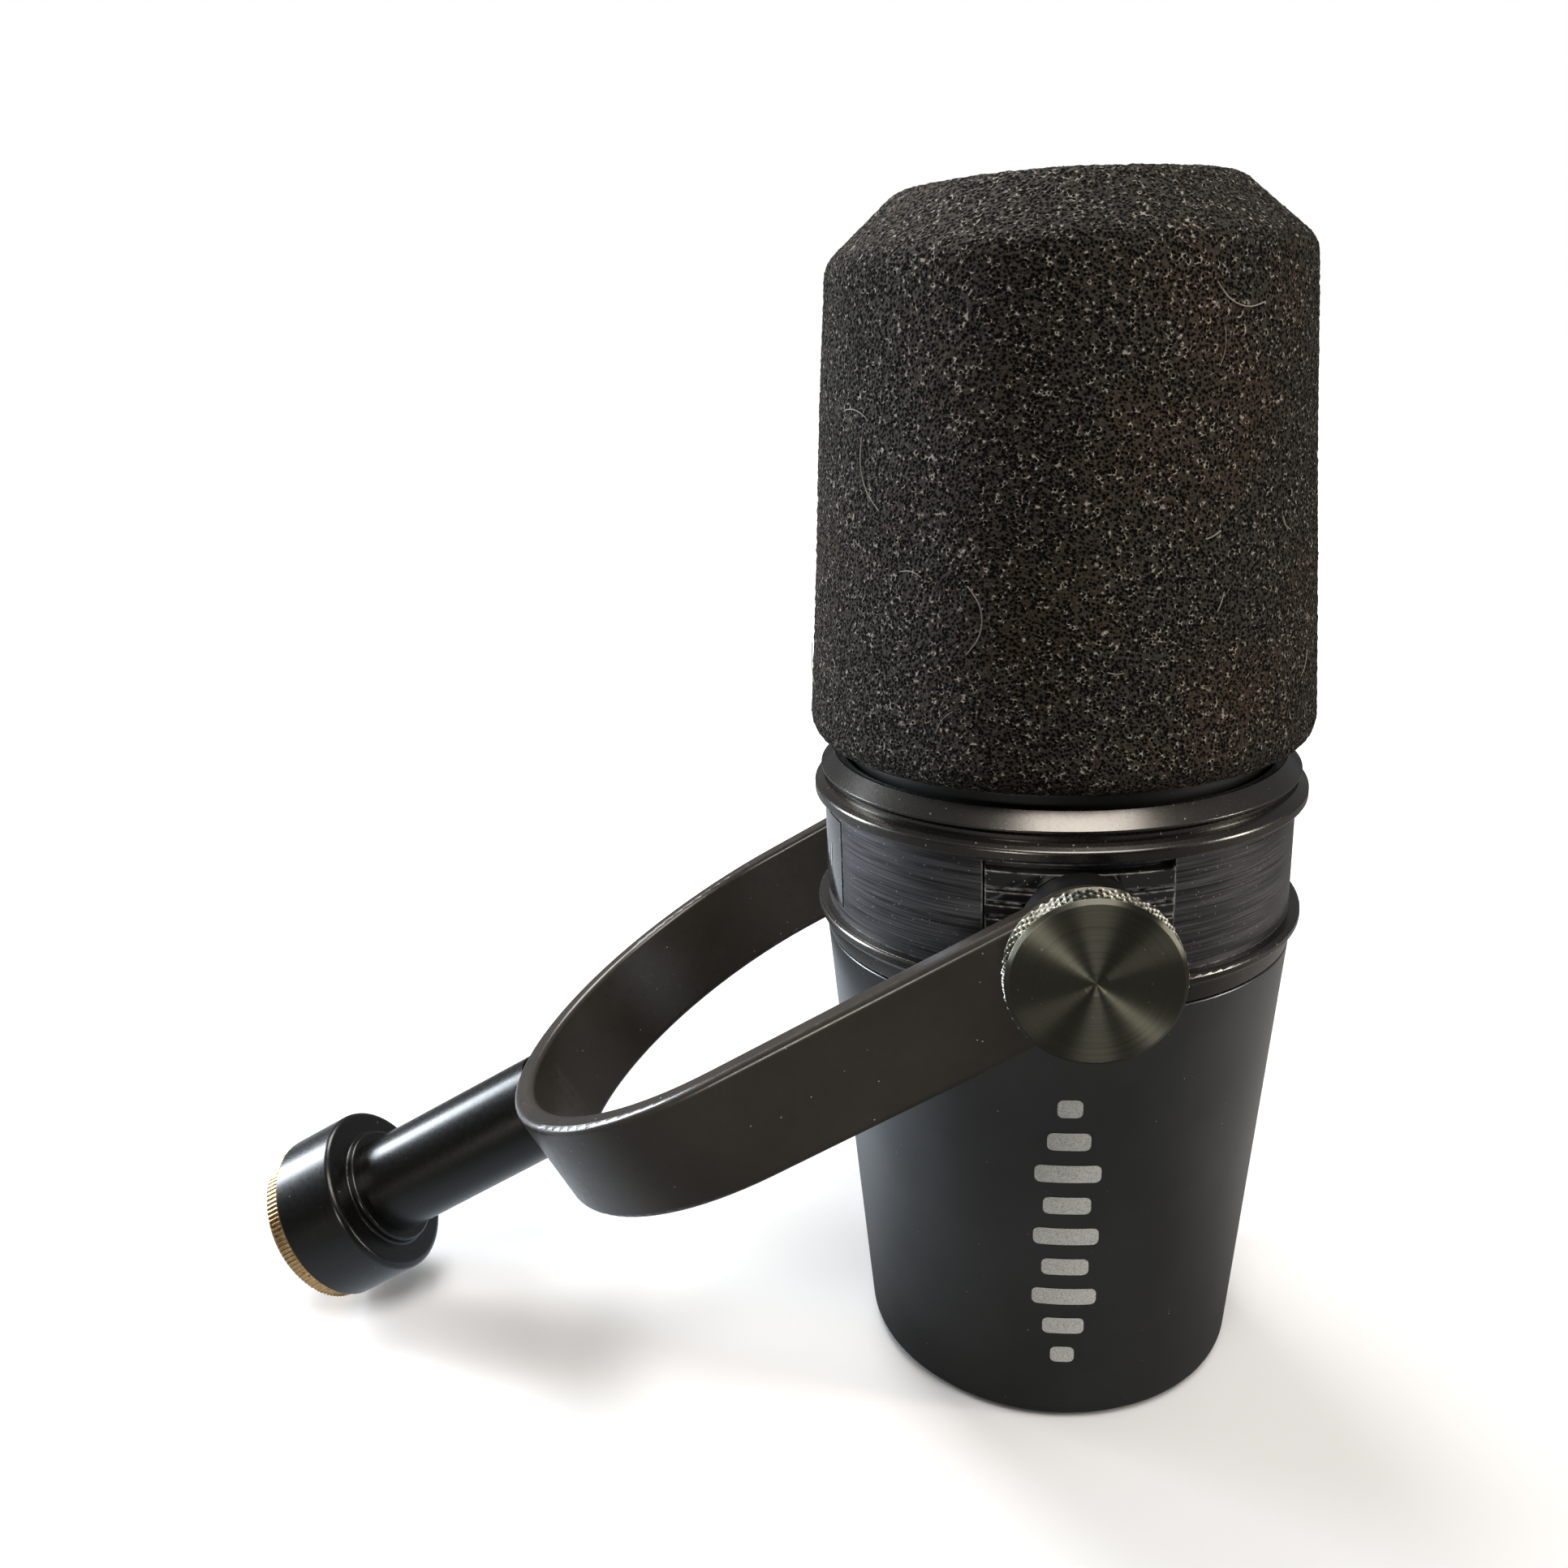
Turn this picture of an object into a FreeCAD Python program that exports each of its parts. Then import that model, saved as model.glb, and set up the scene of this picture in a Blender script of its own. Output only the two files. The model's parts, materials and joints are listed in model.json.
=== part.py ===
"""Yoke-mounted speech microphone, standing on its connector end.

Frame: the microphone's axis is +Z and the origin is the centre of the flat rear face.
The tilt pivot runs along Y.  The yoke leans towards -X until its stand end nearly meets the table.
Left is the -Y side and right is the +Y side.  All sizes are in millimetres and degrees.
"""
import os
from math import asin, atan2, cos, degrees, hypot, radians, sin, tan

import FreeCAD
import Part

V = FreeCAD.Vector
ORIGIN = V(0, 0, 0)
AXIS_X = V(1, 0, 0)
AXIS_Y = V(0, 1, 0)
AXIS_Z = V(0, 0, 1)

# ---- Driving dimensions: overall ----
overall_length = 153.0        # rear face to the top of the windscreen
yoke_reach = 126.6            # pivot to the end of the stand thread
table_gap = 0.1               # the stand end hangs this far above the table

# ---- Driving dimensions: rear shell and its collar ----
shell_base_radius = 25.1
shell_length = 61.9
shell_wall = 2.2
shell_edge_round = 2.4
seam_gap = 0.25
rear_collar_height = 4.0
skirt_wall = 1.2
skirt_depth = 5.0
collar_proud = 1.4            # how far both collars stand out past the band

# ---- Driving dimensions: band, pivots and front collar ----
band_radius = 29.9
band_wall = 2.3
band_length = 14.6
pivot_above_band_foot = 6.8
front_collar_height = 5.5
cone_height = 1.95
cone_run = 1.7
chassis_wall = 1.8
chassis_gap = 1.6             # between the chassis tube and the band
collar_reveal = 3.3           # neck inside the outside of the band
shell_reveal = 0.3            # top of the shell outside the band
deck_thickness = 2.5
cable_hole_radius = 11.0

# ---- Driving dimensions: windscreen and grille ----
foam_overhang = 2.0           # widest part of the foam outside the band
foam_shoulder_radius = 28.1
foam_top_radius = 19.6
foam_shoulder_drop = 8.0
foam_crown = 0.5              # middle of the windscreen's top above its rim
foam_corner_round = 3.4
foam_shoulder_round = 4.0
foam_top_round = 3.0
foam_lift = 1.6               # windscreen's lower edge above the front collar
foam_top_thickness = 6.5
foam_fit = 0.3
grille_radius = 25.0
grille_wall = 0.8
grille_corner_round = 9.0
mesh_seat = 2.6               # foot of the mesh above the band
neck_rise = 1.2               # rim of the neck ring above the front collar
liner_thickness = 1.5

# ---- Driving dimensions: capsule ----
cartridge_wall = 1.6
cartridge_length = 38.0
cartridge_lift = 9.0          # above the chassis deck
cap_height = 3.5
magnet_radius = 9.0
magnet_height = 8.0
pole_height = 2.8
coil_gap = 0.35
coil_wall = 0.7
mount_height = 5.0            # rubber rings that carry the cartridge
mount_width = 3.5
cage_clearance = 0.4          # cage inside the liner
cage_wall = 2.8
cage_post_radius = 1.35
cage_base_height = 3.0
cage_post_angles = (45, 135, 225, 315)
cage_screw_angles = (20, 160, 200, 340)
cage_screw_depth = 2.4
front_mount_drop = 6.0        # below the top of the cartridge
rear_mount_lift = 5.0         # above the foot of the cartridge
mount_lip = 0.9
motor_lift = 17.5             # magnet cup above the foot of the cartridge
cup_wall = 1.6
cup_floor = 3.0
cup_fit = 0.4
coil_rise = 2.4               # voice coil above the pole piece
film_thickness = 0.25
chamber_wall = 1.2
chamber_lift = 0.5
lead_radius = 0.6
lead_offset = 2.8
lead_spread = 3.0

# ---- Driving dimensions: yoke and stand adapter ----
bar_width = 14.4
bar_thickness = 3.2
bar_edge_round = 0.9
spacer_length = 3.8           # pad face to the inside of an arm
bow_end = 82.4                # pivot to the outside of the bow
post_radius = 7.2
adapter_radius = 12.4
adapter_length = 13.2
insert_radius = 11.9
insert_flange = 3.0
thread_radius = 7.45          # minor radius of a 5/8 inch 27 thread
thread_chamfer = 0.6
insert_wall_step = 2.0        # flange of the insert outside its barrel
spigot_depth = 2.0            # post inside the stand collar
spigot_step = 1.4
hub_radius = 8.7
hub_height = 1.2
post_screw_radius = 2.5
post_screw_head_radius = 4.4
post_screw_rim = 0.3
post_screw_cone = 2.2         # head face to the foot of the countersink
post_screw_run = 14.0         # screw inside the post
hexagon_radius = 1.7
hexagon_depth = 1.6

# ---- Driving dimensions: pivot hardware ----
knob_radius = 9.5
knob_stand_off = 3.0          # outside of an arm to the back of a knob's head
knob_head = 4.0
knob_bevel = 0.45
knob_cap = 1.6                # face of a knob to the end of its stud
stud_radius = 2.5
stud_run = 0.06               # radial running clearance round the stud
sleeve_radius = 4.0
bush_radius = 4.5
bush_flange_radius = 5.2
bush_flange = 1.5
spacer_radius = 6.8
washer_thickness = 0.8
face_gap = 0.05               # between faces that turn on each other
pad_proud = 1.1
pad_sink = 0.8
pad_half_width = 10.5
pad_foot_margin = 0.9
pad_top_margin = 1.3
pocket_gap = 0.2              # round the foot and the sides of a pad
pad_lip = 0.7                 # open pocket above a pad
rib_pitch = 1.7
rib_depth = 0.45
boss_depth = 2.2              # pivot bosses inside the chassis tube
boss_half_width = 8.0

# ---- Driving dimensions: touch strip ----
strip_half_width = 12.0
strip_margin = 1.5
strip_thickness = 1.0
led_half_width = 1.0
led_margin = 1.6
flex_half_width = 3.0
flex_thickness = 0.3
flex_lift = 3.4               # above the foot of the band
flex_wall_gap = 0.6           # cable to the chassis tube

# ---- Driving dimensions: connectors and boards ----
plate_radius = 21.8
plate_thickness = 3.0
xlr_inner_radius = 8.2
xlr_wall = 1.1
xlr_depth = 14.0
xlr_offset = 10.8
xlr_pin_radius = 1.2
xlr_pin_circle = 4.0
usb_width = 8.2
usb_height = 3.2
usb_depth = 6.0
port_offset_x = 9.5
port_offset_y = -11.0
jack_bore_radius = 1.8
jack_barrel_radius = 3.9
jack_depth = 14.0
board_thickness = 1.6
connector_board_lift = 14.0   # above the plate
main_board_lift = 2.0         # above the connector board
connector_board_radius = 20.5
main_board_width = 34.0
main_board_height = 35.0
screw_radius = 1.1
screw_head_radius = 2.3
screw_head_height = 1.3
screw_sink = 0.2              # screw heads below the rear face
lug_circle = 20.4
lug_radius = 3.2
lug_height = 9.0
lug_angles = (-15, 195, 270)
nut_top = 1.5
xlr_pin_angles = (30, 150, 270)
standoff_places = ((16.5, 2.0), (-16.5, 2.0), (0.0, -13.0))
lead_socket_height = 6.0

# ---- Radii that follow from the band ----
shell_top_radius = band_radius + shell_reveal
collar_bead_radius = band_radius + collar_proud
neck_radius = band_radius - collar_reveal
foam_widest_radius = band_radius + foam_overhang

# ---- Heights and distances that follow ----
collar_foot = shell_length
band_foot = collar_foot + rear_collar_height
pivot_height = band_foot + pivot_above_band_foot
band_top = band_foot + band_length
front_top = band_top + front_collar_height
foam_foot = front_top + foam_lift
grille_top = overall_length - foam_top_thickness - foam_fit
band_inner = band_radius - band_wall
chassis_outer = band_inner - chassis_gap
chassis_inner = chassis_outer - chassis_wall
cartridge_foot = band_top + cartridge_lift
cartridge_top = cartridge_foot + cartridge_length
pad_face = band_radius + pad_proud
arm_inner = pad_face + spacer_length
yoke_half_span = arm_inner + bar_thickness
knob_back = yoke_half_span + knob_stand_off
knob_face = knob_back + knob_head
adapter_foot = yoke_reach - adapter_length
insert_foot = yoke_reach - insert_flange
connector_board_foot = plate_thickness + connector_board_lift
main_board_foot = connector_board_foot + board_thickness + main_board_lift
main_board_top = main_board_foot + main_board_height
groove_foot = band_top + mesh_seat
neck_rim = front_top + neck_rise
cage_outer = grille_radius - grille_wall - liner_thickness - cage_clearance
cage_inner = cage_outer - cage_wall
cartridge_radius = cage_inner - mount_width
cage_post_circle = (cage_outer + cage_inner) / 2
front_mount_height = cartridge_top - front_mount_drop
rear_mount_height = cartridge_foot + rear_mount_lift
cup_foot = cartridge_foot + motor_lift
cup_radius = cartridge_radius - cartridge_wall - cup_fit
magnet_foot = cup_foot + cup_floor
pole_foot = magnet_foot + magnet_height
pole_top = pole_foot + pole_height
pole_radius = magnet_radius + 0.2
coil_inner = pole_radius + coil_gap
coil_outer = coil_inner + coil_wall
coil_top = pole_top + coil_rise
deck_foot = band_top - deck_thickness
pad_low = band_foot + pad_foot_margin
pad_high = band_top - pad_top_margin
pocket_floor = band_radius - pad_sink
boss_face = chassis_inner - boss_depth
strip_low = band_foot + strip_margin
strip_high = band_top - strip_margin
led_low = strip_low + led_margin
led_high = strip_high - led_margin
strip_floor = band_radius - strip_thickness
flex_height = band_foot + flex_lift
flex_wall = chassis_inner - flex_wall_gap
plate_screw_circle = lug_circle - 1.2
connector_board_top = connector_board_foot + board_thickness
insert_barrel_radius = insert_radius - insert_wall_step
spigot_end = adapter_foot + spigot_depth
spigot_radius = post_radius - spigot_step
post_screw_end = bow_end + post_screw_run
stud_end = knob_face - knob_cap

# The yoke leans over until the rim of the stand thread is table_gap above the table.
yoke_drop = degrees(
    asin((pivot_height - table_gap) / hypot(yoke_reach, insert_radius))
    - atan2(insert_radius, yoke_reach)
)


# ---- Helpers ----
def corner(before, here, after, radius):
    """Start, middle and end of the arc that rounds one corner of an outline."""
    back = (before - here).normalize()
    ahead = (after - here).normalize()
    half = back.getAngle(ahead) / 2
    reach = radius / tan(half)
    middle = here + (back + ahead).normalize() * (radius / sin(half) - radius)
    return here + back * reach, middle, here + ahead * reach


def outline(points):
    """Closed wire in the XZ plane through (x, z) or (x, z, corner radius) points."""
    places = [V(point[0], 0, point[1]) for point in points]
    rounds = [point[2] if len(point) > 2 else 0 for point in points]
    arcs = []
    for index, place in enumerate(places):
        if rounds[index]:
            arcs.append(corner(places[index - 1], place, places[(index + 1) % len(places)], rounds[index]))
        else:
            arcs.append((place, None, place))
    edges = []
    for index, (start, middle, end) in enumerate(arcs):
        if middle:
            edges.append(Part.Arc(start, middle, end).toShape())
        following = arcs[(index + 1) % len(arcs)][0]
        if end.distanceToPoint(following) > 1e-6:
            edges.append(Part.makeLine(end, following))
    return Part.Wire(edges)


def turned(*points):
    """Solid of revolution about Z from an outline of (radius, height) points."""
    return Part.Face(outline(points)).revolve(ORIGIN, AXIS_Z, 360)


def tube(outer, inner, low, high):
    return rod(outer, low, high).cut(rod(inner, low - 1, high + 1))


def rod(radius, low, high, x=0, y=0):
    return Part.makeCylinder(radius, high - low, V(x, y, low))


def block(x0, x1, y0, y1, z0, z1):
    return Part.makeBox(x1 - x0, y1 - y0, z1 - z0, V(x0, y0, z0))


def joined(shapes):
    whole = shapes[0]
    for shape in shapes[1:]:
        whole = whole.fuse(shape)
    return whole.removeSplitter()


def group(shapes):
    return Part.makeCompound(shapes)


def around(radius, angles):
    return [(radius * cos(radians(angle)), radius * sin(radians(angle))) for angle in angles]


def at_pivot(shape, side):
    """Put a piece turned about Z on the pivot axis, its Z pointing outwards on one side."""
    placed = shape.copy()
    placed.rotate(ORIGIN, AXIS_X, -90 * side)
    placed.translate(V(0, 0, pivot_height))
    return placed


def along_yoke(shape):
    """Put a piece whose Z runs from the pivot to the stand end at the yoke's resting angle."""
    placed = shape.copy()
    placed.rotate(ORIGIN, AXIS_Y, -(90 + yoke_drop))
    placed.translate(V(0, 0, pivot_height))
    return placed


def shell_radius(height):
    return shell_base_radius + (shell_top_radius - shell_base_radius) * height / shell_length


# ---- Windscreen and grille ----
def foam_windscreen():
    cavity_radius = grille_radius + foam_fit
    cavity_top = grille_top + foam_fit
    return turned(
        (cavity_radius, foam_foot),
        (foam_widest_radius, foam_foot, foam_corner_round),
        (foam_shoulder_radius, overall_length - foam_shoulder_drop, foam_shoulder_round),
        (foam_top_radius, overall_length - foam_crown, foam_top_round),
        (0, overall_length),
        (0, cavity_top),
        (cavity_radius, cavity_top, grille_corner_round),
    )


def grille_mesh():
    inner_radius = grille_radius - grille_wall
    return turned(
        (inner_radius, groove_foot),
        (grille_radius, groove_foot),
        (grille_radius, grille_top, grille_corner_round),
        (0, grille_top),
        (0, grille_top - grille_wall),
        (inner_radius, grille_top - grille_wall, grille_corner_round - grille_wall),
    )


def grille_ring():
    """Neck ring with a groove that the mesh stands in."""
    mesh_inner = grille_radius - grille_wall
    return turned(
        (mesh_inner - liner_thickness, band_top),
        (neck_radius, band_top),
        (neck_radius, neck_rim, 0.4),
        (grille_radius, neck_rim),
        (grille_radius, groove_foot),
        (mesh_inner, groove_foot),
        (mesh_inner, neck_rim),
        (mesh_inner - liner_thickness, neck_rim),
    )


def pop_filter_liner():
    outer = grille_radius - grille_wall
    inner = outer - liner_thickness
    ceiling = grille_top - grille_wall
    outer_round = grille_corner_round - grille_wall
    return turned(
        (inner, neck_rim),
        (outer, neck_rim),
        (outer, ceiling, outer_round),
        (0, ceiling),
        (0, ceiling - liner_thickness),
        (inner, ceiling - liner_thickness, outer_round - liner_thickness),
    )


# ---- Capsule, from the front cap back to the damping chamber ----
def capsule_cage():
    """Base ring on the deck, four posts and two rings that hold the rubber mounts."""
    base = tube(cage_outer, cartridge_radius + 1.0, band_top, band_top + cage_base_height)
    rings = [
        tube(cage_outer, cage_inner, height - mount_height / 4, height + mount_height / 4)
        for height in (rear_mount_height, front_mount_height)
    ]
    posts = [
        rod(cage_post_radius, band_top, front_mount_height, x, y)
        for x, y in around(cage_post_circle, cage_post_angles)
    ]
    cage = joined([base] + rings + posts)
    for x, y in around(cage_post_circle, cage_screw_angles):
        cage = cage.cut(rod(screw_radius, band_top, band_top + cage_screw_depth, x, y))
    return cage


def shock_mount(height):
    """One rubber ring with a thin web between the cartridge and the cage."""
    rim = mount_height / 2
    web = mount_height / 8
    inner_lip = cartridge_radius + mount_lip
    outer_lip = cage_inner - mount_lip
    return turned(
        (cartridge_radius, height - rim),
        (inner_lip, height - rim),
        (inner_lip, height - web),
        (outer_lip, height - web),
        (outer_lip, height - rim),
        (cage_inner, height - rim),
        (cage_inner, height + rim),
        (outer_lip, height + rim),
        (outer_lip, height + web),
        (inner_lip, height + web),
        (inner_lip, height + rim),
        (cartridge_radius, height + rim),
    )


def cartridge_body():
    return tube(cartridge_radius, cartridge_radius - cartridge_wall, cartridge_foot, cartridge_top)


def resonator_cap():
    cap_top = cartridge_top + cap_height
    cap = turned(
        (0, cartridge_top),
        (cartridge_radius, cartridge_top),
        (cartridge_radius, cap_top, 1.5),
        (0, cap_top),
    )
    hollow = rod(cartridge_radius - cartridge_wall, cartridge_top - 1, cap_top - 1.2)
    holes = [rod(1.2, cap_top - 2, cap_top + 1, x, y) for x, y in around(9.0, range(0, 360, 40))]
    centre_hole = rod(2.0, cap_top - 2, cap_top + 1)
    return cap.cut(hollow).cut(group(holes)).cut(centre_hole)


def diaphragm():
    """Thin domed film with a raised surround, clamped at its rim."""
    rim = cup_radius
    crown = ((0, 2.1), (5.0, 1.3), (coil_inner, 0), ((coil_outer + rim) / 2, 0.7), (rim, 0))
    top_side = [(radius, coil_top + film_thickness + rise) for radius, rise in crown]
    under_side = [(radius, coil_top + rise) for radius, rise in reversed(crown)]
    return turned(*(top_side + under_side))


def voice_coil():
    return tube(coil_outer, coil_inner, pole_foot - 2.0, coil_top)


def magnet():
    return rod(magnet_radius, magnet_foot, pole_foot)


def pole_piece():
    return rod(pole_radius, pole_foot, pole_top)


def magnet_cup():
    """Steel pot whose top plate closes round the voice coil."""
    gap_radius = coil_outer + coil_gap
    return turned(
        (0, cup_foot),
        (cup_radius, cup_foot, 0.6),
        (cup_radius, pole_top),
        (gap_radius, pole_top),
        (gap_radius, pole_foot),
        (cup_radius - cup_wall, pole_foot),
        (cup_radius - cup_wall, magnet_foot),
        (0, magnet_foot),
    )


def damping_chamber():
    """Closed air volume behind the motor."""
    foot = cartridge_foot + chamber_lift
    outside = rod(cup_radius, foot, cup_foot)
    return outside.cut(rod(cup_radius - chamber_wall, foot + chamber_wall, cup_foot - chamber_wall))


def capsule_leads():
    """Pair of insulated leads from the cartridge to the socket on the main board."""
    return group([
        rod(lead_radius, main_board_top, cartridge_foot + chamber_lift, x, lead_offset)
        for x in (-lead_spread, lead_spread)
    ])


# ---- Front collar, band and chassis ----
def front_collar():
    """Cone, undercut groove, thin bead and rounded outer face, from the top down."""
    cone_top_radius = neck_radius + 2.1
    cone_foot_radius = cone_top_radius + cone_run
    cone_foot = front_top - cone_height
    face_top = cone_foot - 2.2
    return turned(
        (neck_radius + 0.1, band_top),
        (collar_bead_radius, band_top, 0.3),
        (collar_bead_radius, face_top, 0.5),
        (cone_foot_radius + 0.25, face_top + 0.45, 0.15),
        (cone_foot_radius - 0.3, face_top + 0.75),
        (cone_foot_radius - 0.75, face_top + 0.7),
        (cone_foot_radius - 0.75, face_top + 1.3),
        (cone_foot_radius, cone_foot - 0.25),
        (cone_foot_radius, cone_foot, 0.1),
        (cone_top_radius, front_top, 0.2),
        (neck_radius + 0.9, front_top - 0.4),
        (neck_radius + 0.1, front_top - 2.2),
    )


def band_sector(inner, outer, half_width, low, high, side):
    """Piece of a ring on the pivot sides (side is -1 or 1) or on the touch side (side 0)."""
    ring = tube(outer, inner, low, high)
    if side:
        near, far = sorted((side * inner * 0.5, side * (outer + 1)))
        window = block(-half_width, half_width, near, far, low, high)
    else:
        window = block(-outer - 1, -inner * 0.5, -half_width, half_width, low, high)
    return ring.common(window)


def pad_pocket(side):
    half_width = pad_half_width + pocket_gap
    return band_sector(pocket_floor, band_radius + 1, half_width, pad_low - pocket_gap, pad_high + pad_lip, side)


def band_housing():
    """Brushed ring with two pad pockets, a touch pocket with a window and two pivot holes."""
    band = tube(band_radius, band_inner, band_foot, band_top)
    for side in (-1, 1):
        band = band.cut(pad_pocket(side))
        band = band.cut(at_pivot(rod(bush_radius, 0, band_radius + 1), side))
    pocket = band_sector(strip_floor, band_radius + 1, strip_half_width, strip_low, strip_high, 0)
    window = band_sector(
        band_inner - 1, band_radius, strip_half_width - 3.0, strip_low + 1.5, strip_high - 1.5, 0
    )
    return band.cut(pocket).cut(window)


def pivot_pad(side):
    """Glossy pad with level ribs that the arm's spacer bears against."""
    pad = band_sector(pocket_floor, pad_face, pad_half_width, pad_low, pad_high, side)
    height = pad_low + rib_pitch
    while height < pad_high - rib_pitch / 2:
        groove = turned(
            (pad_face - rib_depth, height),
            (pad_face + 1, height - 1.0),
            (pad_face + 1, height + 1.0),
        )
        pad = pad.cut(groove)
        height += rib_pitch
    return pad.cut(at_pivot(rod(bush_radius, 0, pad_face + 1), side))


def inner_chassis():
    """Tube with a deck for the capsule, a foot flange and flat bosses for the pivot bushes."""
    body = tube(chassis_outer, chassis_inner, band_foot, band_top)
    deck = tube(band_inner, cable_hole_radius, deck_foot, band_top)
    foot = tube(band_inner, chassis_inner, band_foot, band_foot + 2.0)
    bosses = []
    for side in (-1, 1):
        near, far = sorted((side * boss_face, side * chassis_outer * 0.97))
        low = pivot_height - bush_flange_radius - 0.3
        bosses.append(block(-boss_half_width, boss_half_width, near, far, low, deck_foot))
    frame = joined([body, deck, foot] + bosses)
    for side in (-1, 1):
        frame = frame.cut(at_pivot(rod(bush_radius, 0, band_radius), side))
    for x, y in around(cage_post_circle, cage_screw_angles):
        frame = frame.cut(rod(screw_radius, deck_foot - 1, band_top + 1, x, y))
    slot = block(-band_inner - 1, -chassis_inner + 2, -flex_half_width - 0.4, flex_half_width + 0.4,
                 flex_height - 0.5, flex_height + 0.8)
    return frame.cut(slot)


def cage_screws():
    """Screws up through the deck into the capsule cage."""
    return group([
        joined([
            rod(screw_radius, deck_foot, band_top + cage_screw_depth, x, y),
            rod(screw_head_radius * 0.9, deck_foot - 1.4, deck_foot, x, y),
        ])
        for x, y in around(cage_post_circle, cage_screw_angles)
    ])


# ---- Touch strip ----
def touch_strip():
    """Glossy cover that follows the band, with a slot for the level light."""
    strip = band_sector(strip_floor, band_radius + 0.12, strip_half_width - 0.1,
                        strip_low + 0.1, strip_high - 0.1, 0)
    return strip.cut(led_space())


def led_space():
    return band_sector(strip_floor - 0.5, band_radius + 1, led_half_width, led_low, led_high, 0)


def led_bar():
    return band_sector(strip_floor, band_radius + 0.06, led_half_width, led_low, led_high, 0)


def touch_board():
    """Curved sensor board behind the strip."""
    return band_sector(chassis_outer + 0.3, band_inner - 0.1, strip_half_width - 2,
                       strip_low + 1.0, deck_foot - 0.3, 0)


def touch_flex():
    """Flat flexible cable from the touch board down to the main board."""
    width = flex_half_width
    bend = -flex_wall + flex_thickness
    board_edge = -main_board_width / 2
    landing = main_board_top - 5.0
    return joined([
        block(-chassis_outer - 0.1, bend, -width, width, flex_height, flex_height + flex_thickness),
        block(-flex_wall, bend, -width, width, landing, flex_height + flex_thickness),
        block(-flex_wall, board_edge, -width, width, landing, landing + flex_thickness),
    ])


# ---- Rear collar, shell and connector plate ----
def rear_collar():
    """Bead with a ledge under the band, a shelf for the chassis and a skirt inside the shell."""
    skirt_outer = shell_radius(collar_foot - skirt_depth) - shell_wall - 0.3
    skirt_inner = skirt_outer - skirt_wall
    shelf_inner = chassis_inner + 0.4
    shelf_foot = band_foot - 2.4
    return turned(
        (shelf_inner, shelf_foot),
        (skirt_inner, shelf_foot),
        (skirt_inner, collar_foot - skirt_depth),
        (skirt_outer, collar_foot - skirt_depth),
        (skirt_outer, collar_foot),
        (shell_top_radius, collar_foot, 0.15),
        (collar_bead_radius - 0.7, band_foot - 1.9),
        (collar_bead_radius, band_foot - 1.2, 0.4),
        (collar_bead_radius, band_foot, 0.5),
        (shelf_inner, band_foot),
    )


def rear_shell():
    """Tapered shell with three screw lugs above the connector plate."""
    top = shell_length - seam_gap
    step = plate_thickness + 1.0
    shell = turned(
        (plate_radius, 0),
        (shell_base_radius, 0, shell_edge_round),
        (shell_radius(top), top, 0.2),
        (shell_radius(top) - shell_wall, top),
        (shell_radius(step) - shell_wall, step),
        (plate_radius, step),
    )
    lugs = [
        rod(lug_radius, plate_thickness, plate_thickness + lug_height, x, y)
        for x, y in around(lug_circle, lug_angles)
    ]
    inside = turned((0, 0), (shell_base_radius - 0.5, 0), (shell_top_radius - 0.5, top), (0, top))
    body = joined([shell] + [lug.common(inside) for lug in lugs])
    for x, y in around(plate_screw_circle, lug_angles):
        body = body.cut(rod(screw_radius, 0, plate_thickness + 6.2, x, y))
    return body


def countersunk_screw(x, y, length):
    screw = turned(
        (0, screw_sink),
        (screw_head_radius, screw_sink),
        (screw_radius, screw_sink + screw_head_height),
        (screw_radius, length),
        (0, length),
    )
    drive = block(-1.5, 1.5, -0.25, 0.25, 0, 0.8).fuse(block(-0.25, 0.25, -1.5, 1.5, 0, 0.8))
    screw = screw.cut(drive)
    screw.translate(V(x, y, 0))
    return screw


def screw_seat(x, y):
    seat = turned(
        (0, -1),
        (screw_head_radius, -1),
        (screw_head_radius, screw_sink),
        (screw_radius, screw_sink + screw_head_height),
        (screw_radius, lug_height),
        (0, lug_height),
    )
    seat.translate(V(x, y, 0))
    return seat


def plate_screws():
    return group([
        countersunk_screw(x, y, plate_thickness + 6.0) for x, y in around(plate_screw_circle, lug_angles)
    ])


def connector_plate():
    """Flush rear plate with holes for the three connectors and their screws."""
    plate = rod(plate_radius, 0, plate_thickness)
    plate = plate.cut(rod(xlr_inner_radius + xlr_wall, -1, plate_thickness + 1, 0, xlr_offset))
    plate = plate.cut(usb_body(1))
    plate = plate.cut(rod(jack_barrel_radius, -1, plate_thickness + 1, -port_offset_x, port_offset_y))
    plate = plate.cut(rod(jack_barrel_radius + 1.2, -1, nut_top, -port_offset_x, port_offset_y))
    for x, y in around(plate_screw_circle, lug_angles):
        plate = plate.cut(screw_seat(x, y))
    return plate


def xlr_housing():
    floor = xlr_depth
    outer = xlr_inner_radius + xlr_wall
    housing = turned(
        (xlr_inner_radius, 0),
        (outer, 0),
        (outer, floor + 2.0),
        (0, floor + 2.0),
        (0, floor),
        (xlr_inner_radius, floor),
    )
    for x, y in around(xlr_pin_circle, xlr_pin_angles):
        housing = housing.cut(rod(xlr_pin_radius, 0, floor + 3, x, y))
    keyway = block(-1.3, 1.3, xlr_inner_radius - 0.5, xlr_inner_radius + 0.5, 0, 8)
    housing = housing.cut(keyway)
    housing.translate(V(0, xlr_offset, 0))
    return housing


def xlr_pins():
    """Three contact pins with rounded tips, down to the connector board."""
    tip = 2.0
    pins = []
    for x, y in around(xlr_pin_circle, xlr_pin_angles):
        pin = turned(
            (0, tip),
            (xlr_pin_radius, tip, xlr_pin_radius * 0.8),
            (xlr_pin_radius, connector_board_foot),
            (0, connector_board_foot),
        )
        pin.translate(V(x, y + xlr_offset, 0))
        pins.append(pin)
    return group(pins)


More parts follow.
